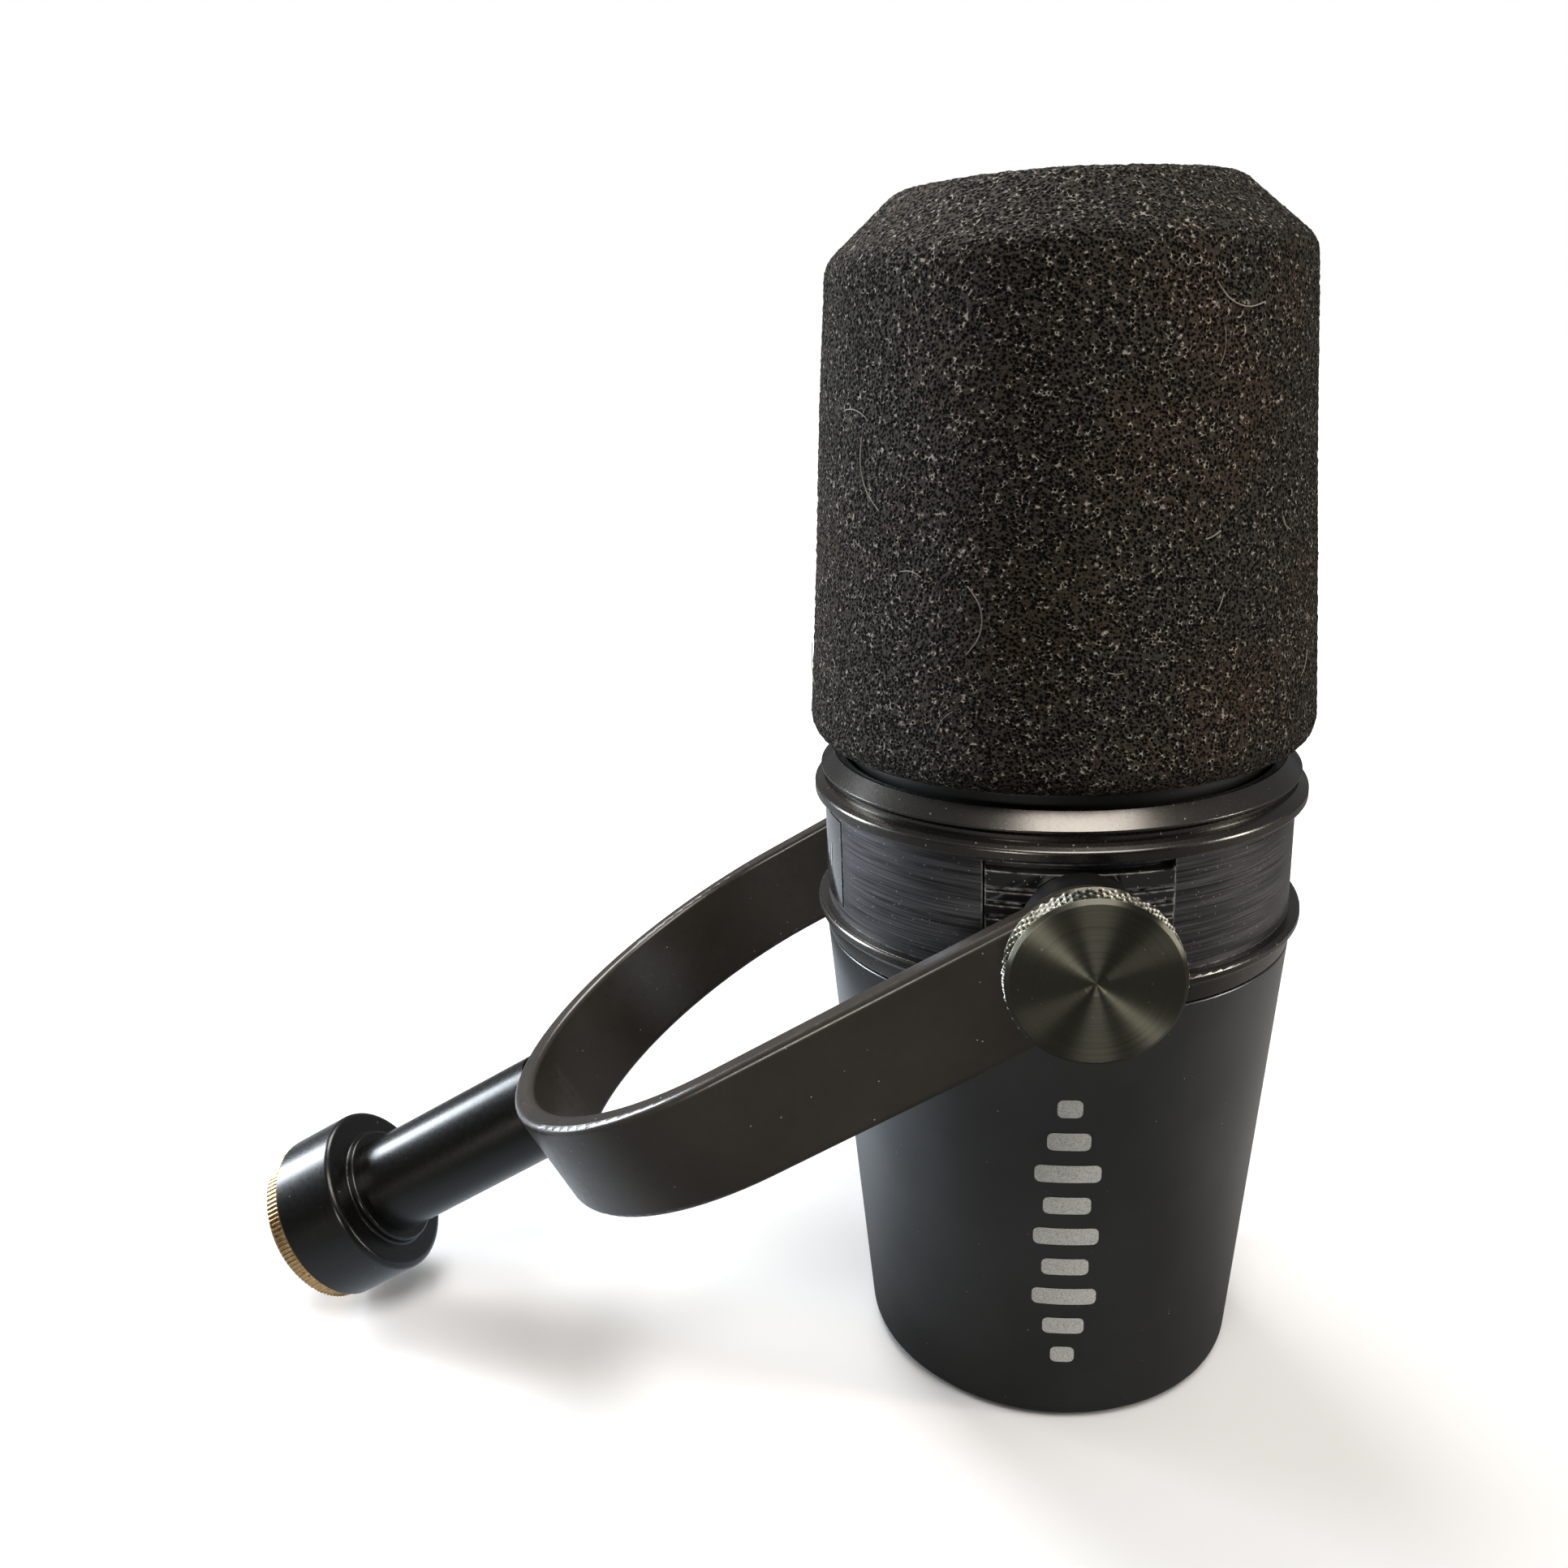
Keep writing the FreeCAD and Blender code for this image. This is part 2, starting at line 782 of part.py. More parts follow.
def usb_body(overrun):
    half_width = usb_width / 2
    half_height = usb_height / 2
    return block(port_offset_x - half_width, port_offset_x + half_width,
                 port_offset_y - half_height, port_offset_y + half_height, -overrun, usb_depth)


def usb_shell():
    """Pressed steel shell, open at the face."""
    wall = 0.4
    hollow = block(port_offset_x - usb_width / 2 + wall, port_offset_x + usb_width / 2 - wall,
                   port_offset_y - usb_height / 2 + wall, port_offset_y + usb_height / 2 - wall,
                   -1, usb_depth - wall)
    return usb_body(0).cut(hollow)


def usb_tongue():
    return block(port_offset_x - 2.4, port_offset_x + 2.4, port_offset_y + 0.1, port_offset_y + 0.8,
                 0.8, usb_depth - 0.4)


def headphone_jack():
    """Barrel through the plate and the switch block behind it."""
    x = -port_offset_x
    barrel = rod(jack_barrel_radius, 0, jack_depth * 0.5, x, port_offset_y)
    low, high = plate_thickness + 0.2, jack_depth + 1.5
    body = block(x - 5, x + 5, port_offset_y - 4.5, port_offset_y + 4.5, low, high)
    return joined([barrel, body]).cut(rod(jack_bore_radius, -1, jack_depth, x, port_offset_y))


def headphone_nut():
    x = -port_offset_x
    nut = rod(jack_barrel_radius + 1.1, 0.2, nut_top, x, port_offset_y)
    return nut.cut(rod(jack_barrel_radius, 0, nut_top + 1, x, port_offset_y))


# ---- Boards ----
def connector_board():
    return rod(connector_board_radius, connector_board_foot, connector_board_top)


def board_standoffs():
    return group([
        rod(2.2, plate_thickness, connector_board_foot, x, y) for x, y in standoff_places
    ])


def board_screws():
    """Pan screws that hold the connector board to its standoffs."""
    top = connector_board_top
    return group([
        turned((0, top), (2.1, top), (2.1, top + 1.3, 0.6), (0, top + 1.3)).translated(V(x, y, 0))
        for x, y in standoff_places
    ])


def main_board():
    half = board_thickness / 2
    return block(-main_board_width / 2, main_board_width / 2, -half, half, main_board_foot, main_board_top)


def board_brackets():
    """Two angle brackets that stand the main board on the connector board."""
    foot = connector_board_top
    half = board_thickness / 2
    brackets = []
    for x in (-12.0, 8.0):
        upright = block(x, x + 4, half, half + 1.0, foot, foot + 8)
        base = block(x, x + 4, half, half + 6.0, foot, foot + 1.0)
        brackets.append(joined([upright, base]))
    return group(brackets)


def board_chips():
    front = board_thickness / 2
    middle = main_board_foot + main_board_height / 2
    return group([
        block(-5, 5, front, front + 1.2, middle - 5, middle + 5),
        block(7, 13, front, front + 1.0, middle, middle + 5),
        block(-13, -8, front, front + 1.0, middle + 1, middle + 7),
        block(6, 12, -front - 1.0, -front, middle + 8, middle + 13),
    ])


def board_capacitors():
    back = -board_thickness / 2
    cans = []
    for x, height in ((-12.0, 8.0), (-12.0, 17.0), (12.5, 8.0)):
        can = turned((0, 0), (3.2, 0), (3.2, 7.0, 0.4), (0, 7.0))
        can.rotate(ORIGIN, AXIS_X, 90)
        can.translate(V(x, back, main_board_foot + height))
        cans.append(can)
    return group(cans)


def transformer():
    back = -board_thickness / 2
    foot = main_board_foot + 12.0
    core = block(-7, 7, back - 11, back - 1, foot, foot + 12)
    legs = block(-6, 6, back - 1, back, foot + 1, foot + 11)
    return joined([core, legs])


def lead_socket():
    front = board_thickness / 2
    return block(-5, 5, front, front + 4, main_board_top - lead_socket_height, main_board_top)


# ---- Yoke and stand adapter ----
def bow_outline(radius, low):
    """Half-round bow with straight arms, seen along the width of the bar."""
    centre = bow_end - yoke_half_span
    return [
        V(0, -radius, low),
        V(0, -radius, centre),
        V(0, 0, centre + radius),
        V(0, radius, centre),
        V(0, radius, low),
    ]


def bow_face(low):
    outer = bow_outline(yoke_half_span, low)
    inner = bow_outline(arm_inner, low)
    edges = []
    for line in (outer, inner):
        edges.append(Part.makeLine(line[0], line[1]))
        edges.append(Part.Arc(line[1], line[2], line[3]).toShape())
        edges.append(Part.makeLine(line[3], line[4]))
    edges.append(Part.makeLine(outer[0], inner[0]))
    edges.append(Part.makeLine(outer[4], inner[4]))
    return Part.Face(Part.Wire(Part.__sortEdges__(edges)))


def yoke_blank():
    half = bar_width / 2
    bar = bow_face(-half).extrude(AXIS_X * bar_width).translated(V(-half, 0, 0))
    wide = yoke_half_span + 1
    arm = block(-half, half, -wide, wide, 0, bow_end + 1)
    round_end = Part.makeCylinder(half, 2 * wide, V(0, -wide, 0), AXIS_Y)
    bar = bar.common(joined([arm, round_end]))
    long_edges = [edge for edge in bar.Edges if not runs_across(edge)]
    return bar.makeFillet(bar_edge_round, long_edges)


def runs_across(edge):
    """True for the short lines across the bar's width or its thickness."""
    if not isinstance(edge.Curve, Part.Line):
        return False
    start, end = (vertex.Point for vertex in edge.Vertexes)
    return abs((end - start).normalize().z) < 0.5


def yoke():
    bar = yoke_blank()
    wide = yoke_half_span + 1
    bar = bar.cut(Part.makeCylinder(sleeve_radius, 2 * wide, V(0, -wide, 0), AXIS_Y))
    bar = bar.cut(post_screw_shape())
    return along_yoke(bar)


def post_screw_shape():
    """Countersunk screw through the bow; its head is flush with the inside of the bow."""
    head_face = bow_end - bar_thickness
    return turned(
        (0, head_face),
        (post_screw_head_radius, head_face),
        (post_screw_head_radius, head_face + post_screw_rim),
        (post_screw_radius, head_face + post_screw_cone),
        (post_screw_radius, post_screw_end),
        (0, post_screw_end),
    )


def post_screw():
    head_face = bow_end - bar_thickness
    corners = [V(x, y, head_face) for x, y in around(hexagon_radius, range(0, 361, 60))]
    socket = Part.Face(Part.makePolygon(corners)).extrude(AXIS_Z * hexagon_depth)
    return along_yoke(post_screw_shape().cut(socket))


def yoke_post():
    """Round post whose end is cut to the curve of the bow."""
    centre = bow_end - yoke_half_span
    shoulder = adapter_foot - hub_height
    post = turned(
        (0, centre),
        (post_radius, centre),
        (post_radius, shoulder),
        (spigot_radius, shoulder),
        (spigot_radius, spigot_end),
        (0, spigot_end),
    )
    bow = Part.makeCylinder(yoke_half_span, 2 * post_radius + 2, V(-post_radius - 1, 0, centre), AXIS_X)
    return along_yoke(post.cut(bow).cut(rod(post_screw_radius, centre, post_screw_end)))


def stand_collar():
    """Collar with a small hub round the post and a pocket for the brass insert."""
    return along_yoke(turned(
        (spigot_radius, adapter_foot - hub_height),
        (hub_radius, adapter_foot - hub_height, 0.4),
        (hub_radius, adapter_foot, 0.35),
        (adapter_radius, adapter_foot, 0.9),
        (adapter_radius, insert_foot, 0.3),
        (insert_barrel_radius, insert_foot),
        (insert_barrel_radius, spigot_end),
        (spigot_radius, spigot_end),
    ))


def thread_insert():
    """Brass insert with a flange and the tapped bore for the stand."""
    return along_yoke(turned(
        (thread_radius, spigot_end),
        (insert_barrel_radius, spigot_end),
        (insert_barrel_radius, insert_foot),
        (insert_radius, insert_foot),
        (insert_radius, yoke_reach, 0.9),
        (thread_radius + thread_chamfer, yoke_reach),
        (thread_radius, yoke_reach - thread_chamfer),
    ))


# ---- Pivot hardware, the same on both sides ----
def pivot_bush(side):
    """Threaded bush through chassis, band and pad, with its flange inside."""
    bush = turned(
        (stud_radius + stud_run, boss_face - bush_flange),
        (bush_flange_radius, boss_face - bush_flange),
        (bush_flange_radius, boss_face),
        (bush_radius, boss_face),
        (bush_radius, pad_face),
        (stud_radius + stud_run, pad_face),
    )
    return at_pivot(bush, side)


def arm_spacer(side):
    outer_face = arm_inner - face_gap
    return at_pivot(tube(spacer_radius, stud_radius + stud_run, pad_face, outer_face), side)


def arm_sleeve(side):
    """Plain sleeve pressed in the arm; the stud turns in it."""
    return at_pivot(tube(sleeve_radius, stud_radius + stud_run, arm_inner, yoke_half_span), side)


def clamp_washer(side):
    foot = yoke_half_span + face_gap
    return at_pivot(tube(spacer_radius, stud_radius + stud_run, foot, foot + washer_thickness), side)


def thumb_knob(side):
    """Round head with bevelled rims, on a smaller hub that bears on the washer."""
    hub_face = yoke_half_span + washer_thickness + 2 * face_gap
    knob = turned(
        (stud_radius, hub_face),
        (spacer_radius - 0.4, hub_face),
        (spacer_radius - 0.4, knob_back),
        (knob_radius - knob_bevel, knob_back),
        (knob_radius, knob_back + knob_bevel),
        (knob_radius, knob_face - knob_bevel),
        (knob_radius - knob_bevel, knob_face),
        (0, knob_face),
        (0, stud_end),
        (stud_radius, stud_end),
    )
    return at_pivot(knob, side)


def knob_stud(side):
    tip = boss_face - bush_flange - 1.0
    return at_pivot(turned(
        (0, tip),
        (stud_radius, tip, 0.6),
        (stud_radius, stud_end),
        (0, stud_end),
    ), side)


# ---- Write every piece to its own file ----
pieces = {
    "foam_windscreen": foam_windscreen(),
    "grille_mesh": grille_mesh(),
    "grille_ring": grille_ring(),
    "pop_filter_liner": pop_filter_liner(),
    "capsule_cage": capsule_cage(),
    "cage_screws": cage_screws(),
    "shock_mounts": group([shock_mount(rear_mount_height), shock_mount(front_mount_height)]),
    "cartridge_body": cartridge_body(),
    "resonator_cap": resonator_cap(),
    "diaphragm": diaphragm(),
    "voice_coil": voice_coil(),
    "pole_piece": pole_piece(),
    "magnet": magnet(),
    "magnet_cup": magnet_cup(),
    "damping_chamber": damping_chamber(),
    "capsule_leads": capsule_leads(),
    "front_collar": front_collar(),
    "band_housing": band_housing(),
    "inner_chassis": inner_chassis(),
    "touch_strip": touch_strip(),
    "led_bar": led_bar(),
    "touch_board": touch_board(),
    "touch_flex": touch_flex(),
    "rear_collar": rear_collar(),
    "rear_shell": rear_shell(),
    "connector_plate": connector_plate(),
    "plate_screws": plate_screws(),
    "xlr_housing": xlr_housing(),
    "xlr_pins": xlr_pins(),
    "usb_socket": group([usb_shell(), usb_tongue()]),
    "headphone_jack": headphone_jack(),
    "headphone_nut": headphone_nut(),
    "connector_board": connector_board(),
    "board_standoffs": board_standoffs(),
    "board_screws": board_screws(),
    "main_board": main_board(),
    "board_brackets": board_brackets(),
    "board_chips": board_chips(),
    "board_capacitors": board_capacitors(),
    "transformer": transformer(),
    "lead_socket": lead_socket(),
    "yoke": yoke(),
    "post_screw": post_screw(),
    "yoke_post": yoke_post(),
    "stand_collar": stand_collar(),
    "thread_insert": thread_insert(),
}
for name, side in (("left", -1), ("right", 1)):
    pieces["pivot_pad_" + name] = pivot_pad(side)
    pieces["pivot_bush_" + name] = pivot_bush(side)
    pieces["arm_spacer_" + name] = arm_spacer(side)
    pieces["arm_sleeve_" + name] = arm_sleeve(side)
    pieces["clamp_washer_" + name] = clamp_washer(side)
    pieces["thumb_knob_" + name] = thumb_knob(side)
    pieces["knob_stud_" + name] = knob_stud(side)

os.makedirs("parts", exist_ok=True)
for name, shape in pieces.items():
    shape.exportStep("parts/" + name + ".step")
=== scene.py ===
import json
import math

import bpy
import numpy as np
from mathutils import Matrix, Vector, noise


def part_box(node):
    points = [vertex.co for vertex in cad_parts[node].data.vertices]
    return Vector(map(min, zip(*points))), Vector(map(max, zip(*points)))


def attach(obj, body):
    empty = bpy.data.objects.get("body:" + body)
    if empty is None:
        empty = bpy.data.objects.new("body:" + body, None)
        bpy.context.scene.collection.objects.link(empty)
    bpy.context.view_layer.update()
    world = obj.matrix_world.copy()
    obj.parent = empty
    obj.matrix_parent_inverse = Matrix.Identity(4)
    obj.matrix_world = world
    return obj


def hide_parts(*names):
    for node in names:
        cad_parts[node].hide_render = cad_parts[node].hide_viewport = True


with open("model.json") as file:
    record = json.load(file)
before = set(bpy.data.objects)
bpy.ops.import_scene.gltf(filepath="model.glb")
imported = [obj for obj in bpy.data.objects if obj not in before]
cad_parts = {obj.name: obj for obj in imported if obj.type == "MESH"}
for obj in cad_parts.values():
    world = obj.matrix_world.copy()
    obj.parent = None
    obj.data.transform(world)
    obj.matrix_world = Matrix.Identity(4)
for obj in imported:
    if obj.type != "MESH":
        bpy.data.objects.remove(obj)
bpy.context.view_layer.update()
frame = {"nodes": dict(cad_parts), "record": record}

print("frame loaded:", len(frame["nodes"]), "nodes")

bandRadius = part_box("band_housing")[1].y
knobLow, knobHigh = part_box("thumb_knob_right")
pivotHeight = (knobLow.z + knobHigh.z) / 2
knobRadius = (knobHigh.z - knobLow.z) / 2
knobFace = knobHigh.y


def addNode(tree, kind, inputs=None, **settings):
    node = tree.nodes.new(kind)
    for name, value in settings.items():
        setattr(node, name, value)
    for name, value in (inputs or {}).items():
        if isinstance(value, bpy.types.NodeSocket):
            tree.links.new(value, node.inputs[name])
        else:
            node.inputs[name].default_value = value
    return node


def mathNode(tree, operation, *values, clamp=False):
    node = addNode(tree, "ShaderNodeMath", dict(enumerate(values)), operation=operation, use_clamp=clamp)
    return node.outputs[0]


def vectorNode(tree, operation, *values):
    return addNode(tree, "ShaderNodeVectorMath", dict(enumerate(values)), operation=operation)


def mixColour(tree, factor, first, second, blend="MIX"):
    node = tree.nodes.new("ShaderNodeMix")
    node.data_type = "RGBA"
    node.blend_type = blend
    for index, value in ((0, factor), (6, first), (7, second)):
        if isinstance(value, bpy.types.NodeSocket):
            tree.links.new(value, node.inputs[index])
        else:
            node.inputs[index].default_value = value if index == 0 else (*value, 1)[:4]
    return node.outputs[2]


def mapRange(tree, value, low, high, toLow=0.0, toHigh=1.0):
    node = addNode(tree, "ShaderNodeMapRange", {0: value, 1: low, 2: high, 3: toLow, 4: toHigh})
    return node.outputs[0]


def newGroup(name, inputs, outputs):
    # a shader node group with named sockets
    tree = bpy.data.node_groups.new(name, "ShaderNodeTree")
    for label, value in inputs.items():
        kind = "NodeSocketVector" if value is None else "NodeSocketFloat"
        socket = tree.interface.new_socket(label, in_out="INPUT", socket_type=kind)
        if value is not None:
            socket.default_value = value
    for label, kind in outputs.items():
        tree.interface.new_socket(label, in_out="OUTPUT", socket_type=kind)
    return tree, tree.nodes.new("NodeGroupInput").outputs, tree.nodes.new("NodeGroupOutput").inputs


def useGroup(tree, name, **values):
    inputs = {key.replace("_", " "): value for key, value in values.items()}
    node = tree.nodes.new("ShaderNodeGroup")
    node.node_tree = bpy.data.node_groups[name]
    for label, value in inputs.items():
        if isinstance(value, bpy.types.NodeSocket):
            tree.links.new(value, node.inputs[label])
        else:
            node.inputs[label].default_value = value
    return node.outputs


def makeEdgeWearAndSheen():
    # where an edge is rubbed bright, and on the gloss pad painted bright as an edge highlight: the rounded
    # normal leaves the face normal there
    tree, given, out = newGroup(
        "edgeWearAndSheen", {"Radius": 0.0004, "Strength": 1.0, "Breakup": 900.0}, {"Mask": "NodeSocketFloat"}
    )
    bevel = addNode(tree, "ShaderNodeBevel", {"Radius": given["Radius"]}, samples=6)
    face = tree.nodes.new("ShaderNodeNewGeometry")
    same = vectorNode(tree, "DOT_PRODUCT", bevel.outputs[0], face.outputs["Normal"]).outputs["Value"]
    turned = mapRange(tree, same, 0.985, 0.80)
    place = tree.nodes.new("ShaderNodeTexCoord").outputs["Object"]
    patches = addNode(tree, "ShaderNodeTexNoise", {"Vector": place, "Scale": given["Breakup"], "Detail": 3.0})
    broken = mapRange(tree, patches.outputs[0], 0.35, 0.62)
    wornAndSheen = mathNode(tree, "MULTIPLY", turned, broken)
    tree.links.new(mathNode(tree, "MULTIPLY", wornAndSheen, given["Strength"], clamp=True), out["Mask"])


def makeDust():
    # single specks of dust and a thin cloudy film
    tree, given, out = newGroup(
        "dust", {"Scale": 2600.0, "Density": 0.1, "Film": 0.3},
        {"Specks": "NodeSocketFloat", "Film": "NodeSocketFloat"},
    )
    place = tree.nodes.new("ShaderNodeTexCoord").outputs["Object"]
    cells = addNode(tree, "ShaderNodeTexVoronoi", {"Vector": place, "Scale": given["Scale"]})
    pick = addNode(tree, "ShaderNodeSeparateColor", {0: cells.outputs["Color"]})
    chosen = mathNode(tree, "LESS_THAN", pick.outputs[0], given["Density"])
    size = mapRange(tree, pick.outputs[1], 0.0, 1.0, 0.10, 0.34)
    near = mathNode(tree, "LESS_THAN", cells.outputs["Distance"], size)
    tree.links.new(mathNode(tree, "MULTIPLY", chosen, near), out["Specks"])
    cloud = addNode(tree, "ShaderNodeTexNoise", {"Vector": place, "Scale": 160.0, "Detail": 4.0})
    thin = mapRange(tree, cloud.outputs[0], 0.42, 0.75)
    tree.links.new(mathNode(tree, "MULTIPLY", thin, given["Film"]), out["Film"])


def makeGrain():
    # fine moulded or powder-coated grain, with a slow change of tone
    tree, given, out = newGroup(
        "grain", {"Scale": 3000.0, "Tone Scale": 60.0},
        {"Height": "NodeSocketFloat", "Tone": "NodeSocketFloat"},
    )
    place = tree.nodes.new("ShaderNodeTexCoord").outputs["Object"]
    fine = addNode(tree, "ShaderNodeTexNoise", {"Vector": place, "Scale": given["Scale"], "Detail": 2.0})
    slow = addNode(tree, "ShaderNodeTexNoise", {"Vector": place, "Scale": given["Tone Scale"], "Detail": 3.0})
    tree.links.new(fine.outputs[0], out["Height"])
    tree.links.new(slow.outputs[0], out["Tone"])


def makeTurnedLines():
    # streaks that run round an axis, from the distance off it, the place along it and the angle
    tree, given, out = newGroup(
        "turnedLines",
        {"Off Axis": 0.0, "Along": 0.0, "Angle": 0.0, "Off Scale": 100.0, "Along Scale": 4000.0},
        {"Lines": "NodeSocketFloat"},
    )
    off = mathNode(tree, "MULTIPLY", given["Off Axis"], given["Off Scale"])
    along = mathNode(tree, "MULTIPLY", given["Along"], given["Along Scale"])
    place = addNode(tree, "ShaderNodeCombineXYZ", {0: off, 1: along, 2: given["Angle"]})
    streaks = addNode(tree, "ShaderNodeTexNoise", {"Vector": place.outputs[0], "Scale": 1.0, "Detail": 3.0})
    tree.links.new(streaks.outputs[0], out["Lines"])


def makeRoundAxis():
    # distance and angle about the pivot line or about the microphone's own axis
    tree, given, out = newGroup(
        "roundAxis", {"Height": 0.0, "Lying": 0.0},
        {"Off Axis": "NodeSocketFloat", "Angle": "NodeSocketFloat", "Along": "NodeSocketFloat"},
    )
    place = tree.nodes.new("ShaderNodeTexCoord").outputs["Object"]
    parts = addNode(tree, "ShaderNodeSeparateXYZ", {0: place}).outputs
    lifted = mathNode(tree, "SUBTRACT", parts[2], given["Height"])
    across = mathNode(tree, "ADD", mathNode(tree, "MULTIPLY", lifted, given["Lying"]),
                      mathNode(tree, "MULTIPLY", parts[1], mathNode(tree, "SUBTRACT", 1.0, given["Lying"])))
    along = mathNode(tree, "ADD", mathNode(tree, "MULTIPLY", parts[1], given["Lying"]),
                     mathNode(tree, "MULTIPLY", lifted, mathNode(tree, "SUBTRACT", 1.0, given["Lying"])))
    square = mathNode(tree, "ADD", mathNode(tree, "MULTIPLY", parts[0], parts[0]),
                      mathNode(tree, "MULTIPLY", across, across))
    tree.links.new(mathNode(tree, "SQRT", square), out["Off Axis"])
    tree.links.new(mathNode(tree, "ARCTAN2", across, parts[0]), out["Angle"])
    tree.links.new(along, out["Along"])


for makeOne in (makeEdgeWearAndSheen, makeDust, makeGrain, makeTurnedLines, makeRoundAxis):
    makeOne()
print("shader groups ready")


def newMaterial(name, rough=0.5, metal=0.0, **plain):
    # an empty principled material; plain values go straight on the shader's own sockets
    material = bpy.data.materials.new(name)
    material.use_nodes = True
    tree = material.node_tree
    shader = tree.nodes["Principled BSDF"]
    shader.inputs["Roughness"].default_value = rough
    shader.inputs["Metallic"].default_value = metal
    for label, value in plain.items():
        shader.inputs[label.replace("_", " ")].default_value = value
    return material, tree, shader


def setBump(tree, shader, height, strength, distance):
    bump = addNode(tree, "ShaderNodeBump", {"Height": height, "Strength": strength, "Distance": distance})
    tree.links.new(bump.outputs[0], shader.inputs["Normal"])


coats = {
    "shell_coat": dict(base=(0.105, 0.108, 0.112), tone=0.1, rough=(0.28, 0.33), grain=2600, bump=0.06,
                       specks=0.006, film=0.02, wornAndSheen=(0.12, 0.12, 0.12), wearAndSheen=0.2, spec=0.6, metal=0.85),
    "collar_coat": dict(base=(0.105, 0.098, 0.090), tone=0.1, rough=(0.25, 0.28), grain=2200, bump=0.008,
                        specks=0.02, film=0.03, wornAndSheen=(0.30, 0.28, 0.25), wearAndSheen=0.05, spec=0.5, metal=1.0),
    "satin_black": dict(base=(0.0025, 0.0024, 0.0022), tone=0.2, rough=(0.26, 0.30), grain=1400, bump=0.015,
                        specks=0.004, film=0.006, wornAndSheen=(0.05, 0.045, 0.04), wearAndSheen=0.3, spec=0.5),
    "yoke_coat": dict(base=(0.024, 0.019, 0.014), tone=0.2, rough=(0.27, 0.33), grain=900, bump=0.03,
                      specks=0.006, film=0.03, wornAndSheen=(0.20, 0.18, 0.15), wearAndSheen=0.08, spec=0.8),
    # black plastic is kept near black with almost no dust film, partly as painted shade: the grille ring
    # shows it in the gap under the foam
    "black_plastic": dict(base=(0.005, 0.005, 0.005), tone=0.2, rough=(0.45, 0.55), grain=2400, bump=0.2,
                          specks=0.01, film=0.02, wornAndSheen=(0.04, 0.04, 0.04), wearAndSheen=0.3, spec=0.3),
    "rubber": dict(base=(0.016, 0.016, 0.017), tone=0.3, rough=(0.62, 0.78), grain=1600, bump=0.35,
                   specks=0.06, film=0.2, wornAndSheen=(0.05, 0.05, 0.05), wearAndSheen=0.3, spec=0.35),
    # the gloss pad's pale edge colour is a painted highlight along its edges
    "gloss_pad": dict(base=(0.006, 0.006, 0.007), tone=0.3, rough=(0.06, 0.14), grain=700, bump=0.03,
                      specks=0.05, film=0.05, wornAndSheen=(0.70, 0.68, 0.65), wearAndSheen=0.8, spec=0.9),
    "grille_steel": dict(base=(0.020, 0.020, 0.020), tone=0.3, rough=(0.35, 0.5), grain=2500, bump=0.2,
                         specks=0.05, film=0.1, wornAndSheen=(0.25, 0.25, 0.25), wearAndSheen=0.6, spec=0.5, metal=0.5),
    "chip": dict(base=(0.018, 0.018, 0.019), tone=0.3, rough=(0.4, 0.55), grain=3500, bump=0.2,
                 specks=0.03, film=0.1, wornAndSheen=(0.1, 0.1, 0.1), wearAndSheen=0.3, spec=0.5),
    "steel": dict(base=(0.42, 0.42, 0.43), tone=0.2, rough=(0.24, 0.38), grain=1500, bump=0.10,
                  specks=0.03, film=0.1, wornAndSheen=(0.75, 0.75, 0.75), wearAndSheen=0.7, spec=0.5, metal=1.0),
    "magnet_metal": dict(base=(0.50, 0.50, 0.51), tone=0.15, rough=(0.16, 0.3), grain=900, bump=0.05,
                         specks=0.02, film=0.06, wornAndSheen=(0.8, 0.8, 0.8), wearAndSheen=0.6, spec=0.5, metal=1.0),
    "contact_metal": dict(base=(0.72, 0.52, 0.22), tone=0.15, rough=(0.18, 0.3), grain=1200, bump=0.05,
                          specks=0.02, film=0.05, wornAndSheen=(0.9, 0.75, 0.45), wearAndSheen=0.5, spec=0.5, metal=1.0),
    "copper_wire": dict(base=(0.62, 0.24, 0.10), tone=0.3, rough=(0.22, 0.36), grain=4000, bump=0.4,
                        specks=0.02, film=0.05, wornAndSheen=(0.8, 0.4, 0.2), wearAndSheen=0.4, spec=0.5, metal=1.0),
    "board": dict(base=(0.012, 0.060, 0.028), tone=0.3, rough=(0.28, 0.42), grain=500, bump=0.08,
                  specks=0.05, film=0.1, wornAndSheen=(0.3, 0.28, 0.15), wearAndSheen=0.6, spec=0.5),
    "flex": dict(base=(0.28, 0.11, 0.02), tone=0.2, rough=(0.25, 0.36), grain=900, bump=0.05,
                 specks=0.03, film=0.1, wornAndSheen=(0.4, 0.2, 0.06), wearAndSheen=0.3, spec=0.5),
    "film": dict(base=(0.55, 0.56, 0.58), tone=0.1, rough=(0.16, 0.25), grain=600, bump=0.04,
                 specks=0.0, film=0.04, wornAndSheen=(0.8, 0.8, 0.8), wearAndSheen=0.2, spec=0.5, metal=0.4),
    "led_diffuser": dict(base=(0.62, 0.62, 0.60), tone=0.1, rough=(0.35, 0.45), grain=1500, bump=0.05,
                         specks=0.02, film=0.08, wornAndSheen=(0.8, 0.8, 0.8), wearAndSheen=0.2, spec=0.5),
}

filmDust, speckDust = (0.13, 0.125, 0.115), (0.42, 0.40, 0.37)
grainRelief = 0.00004


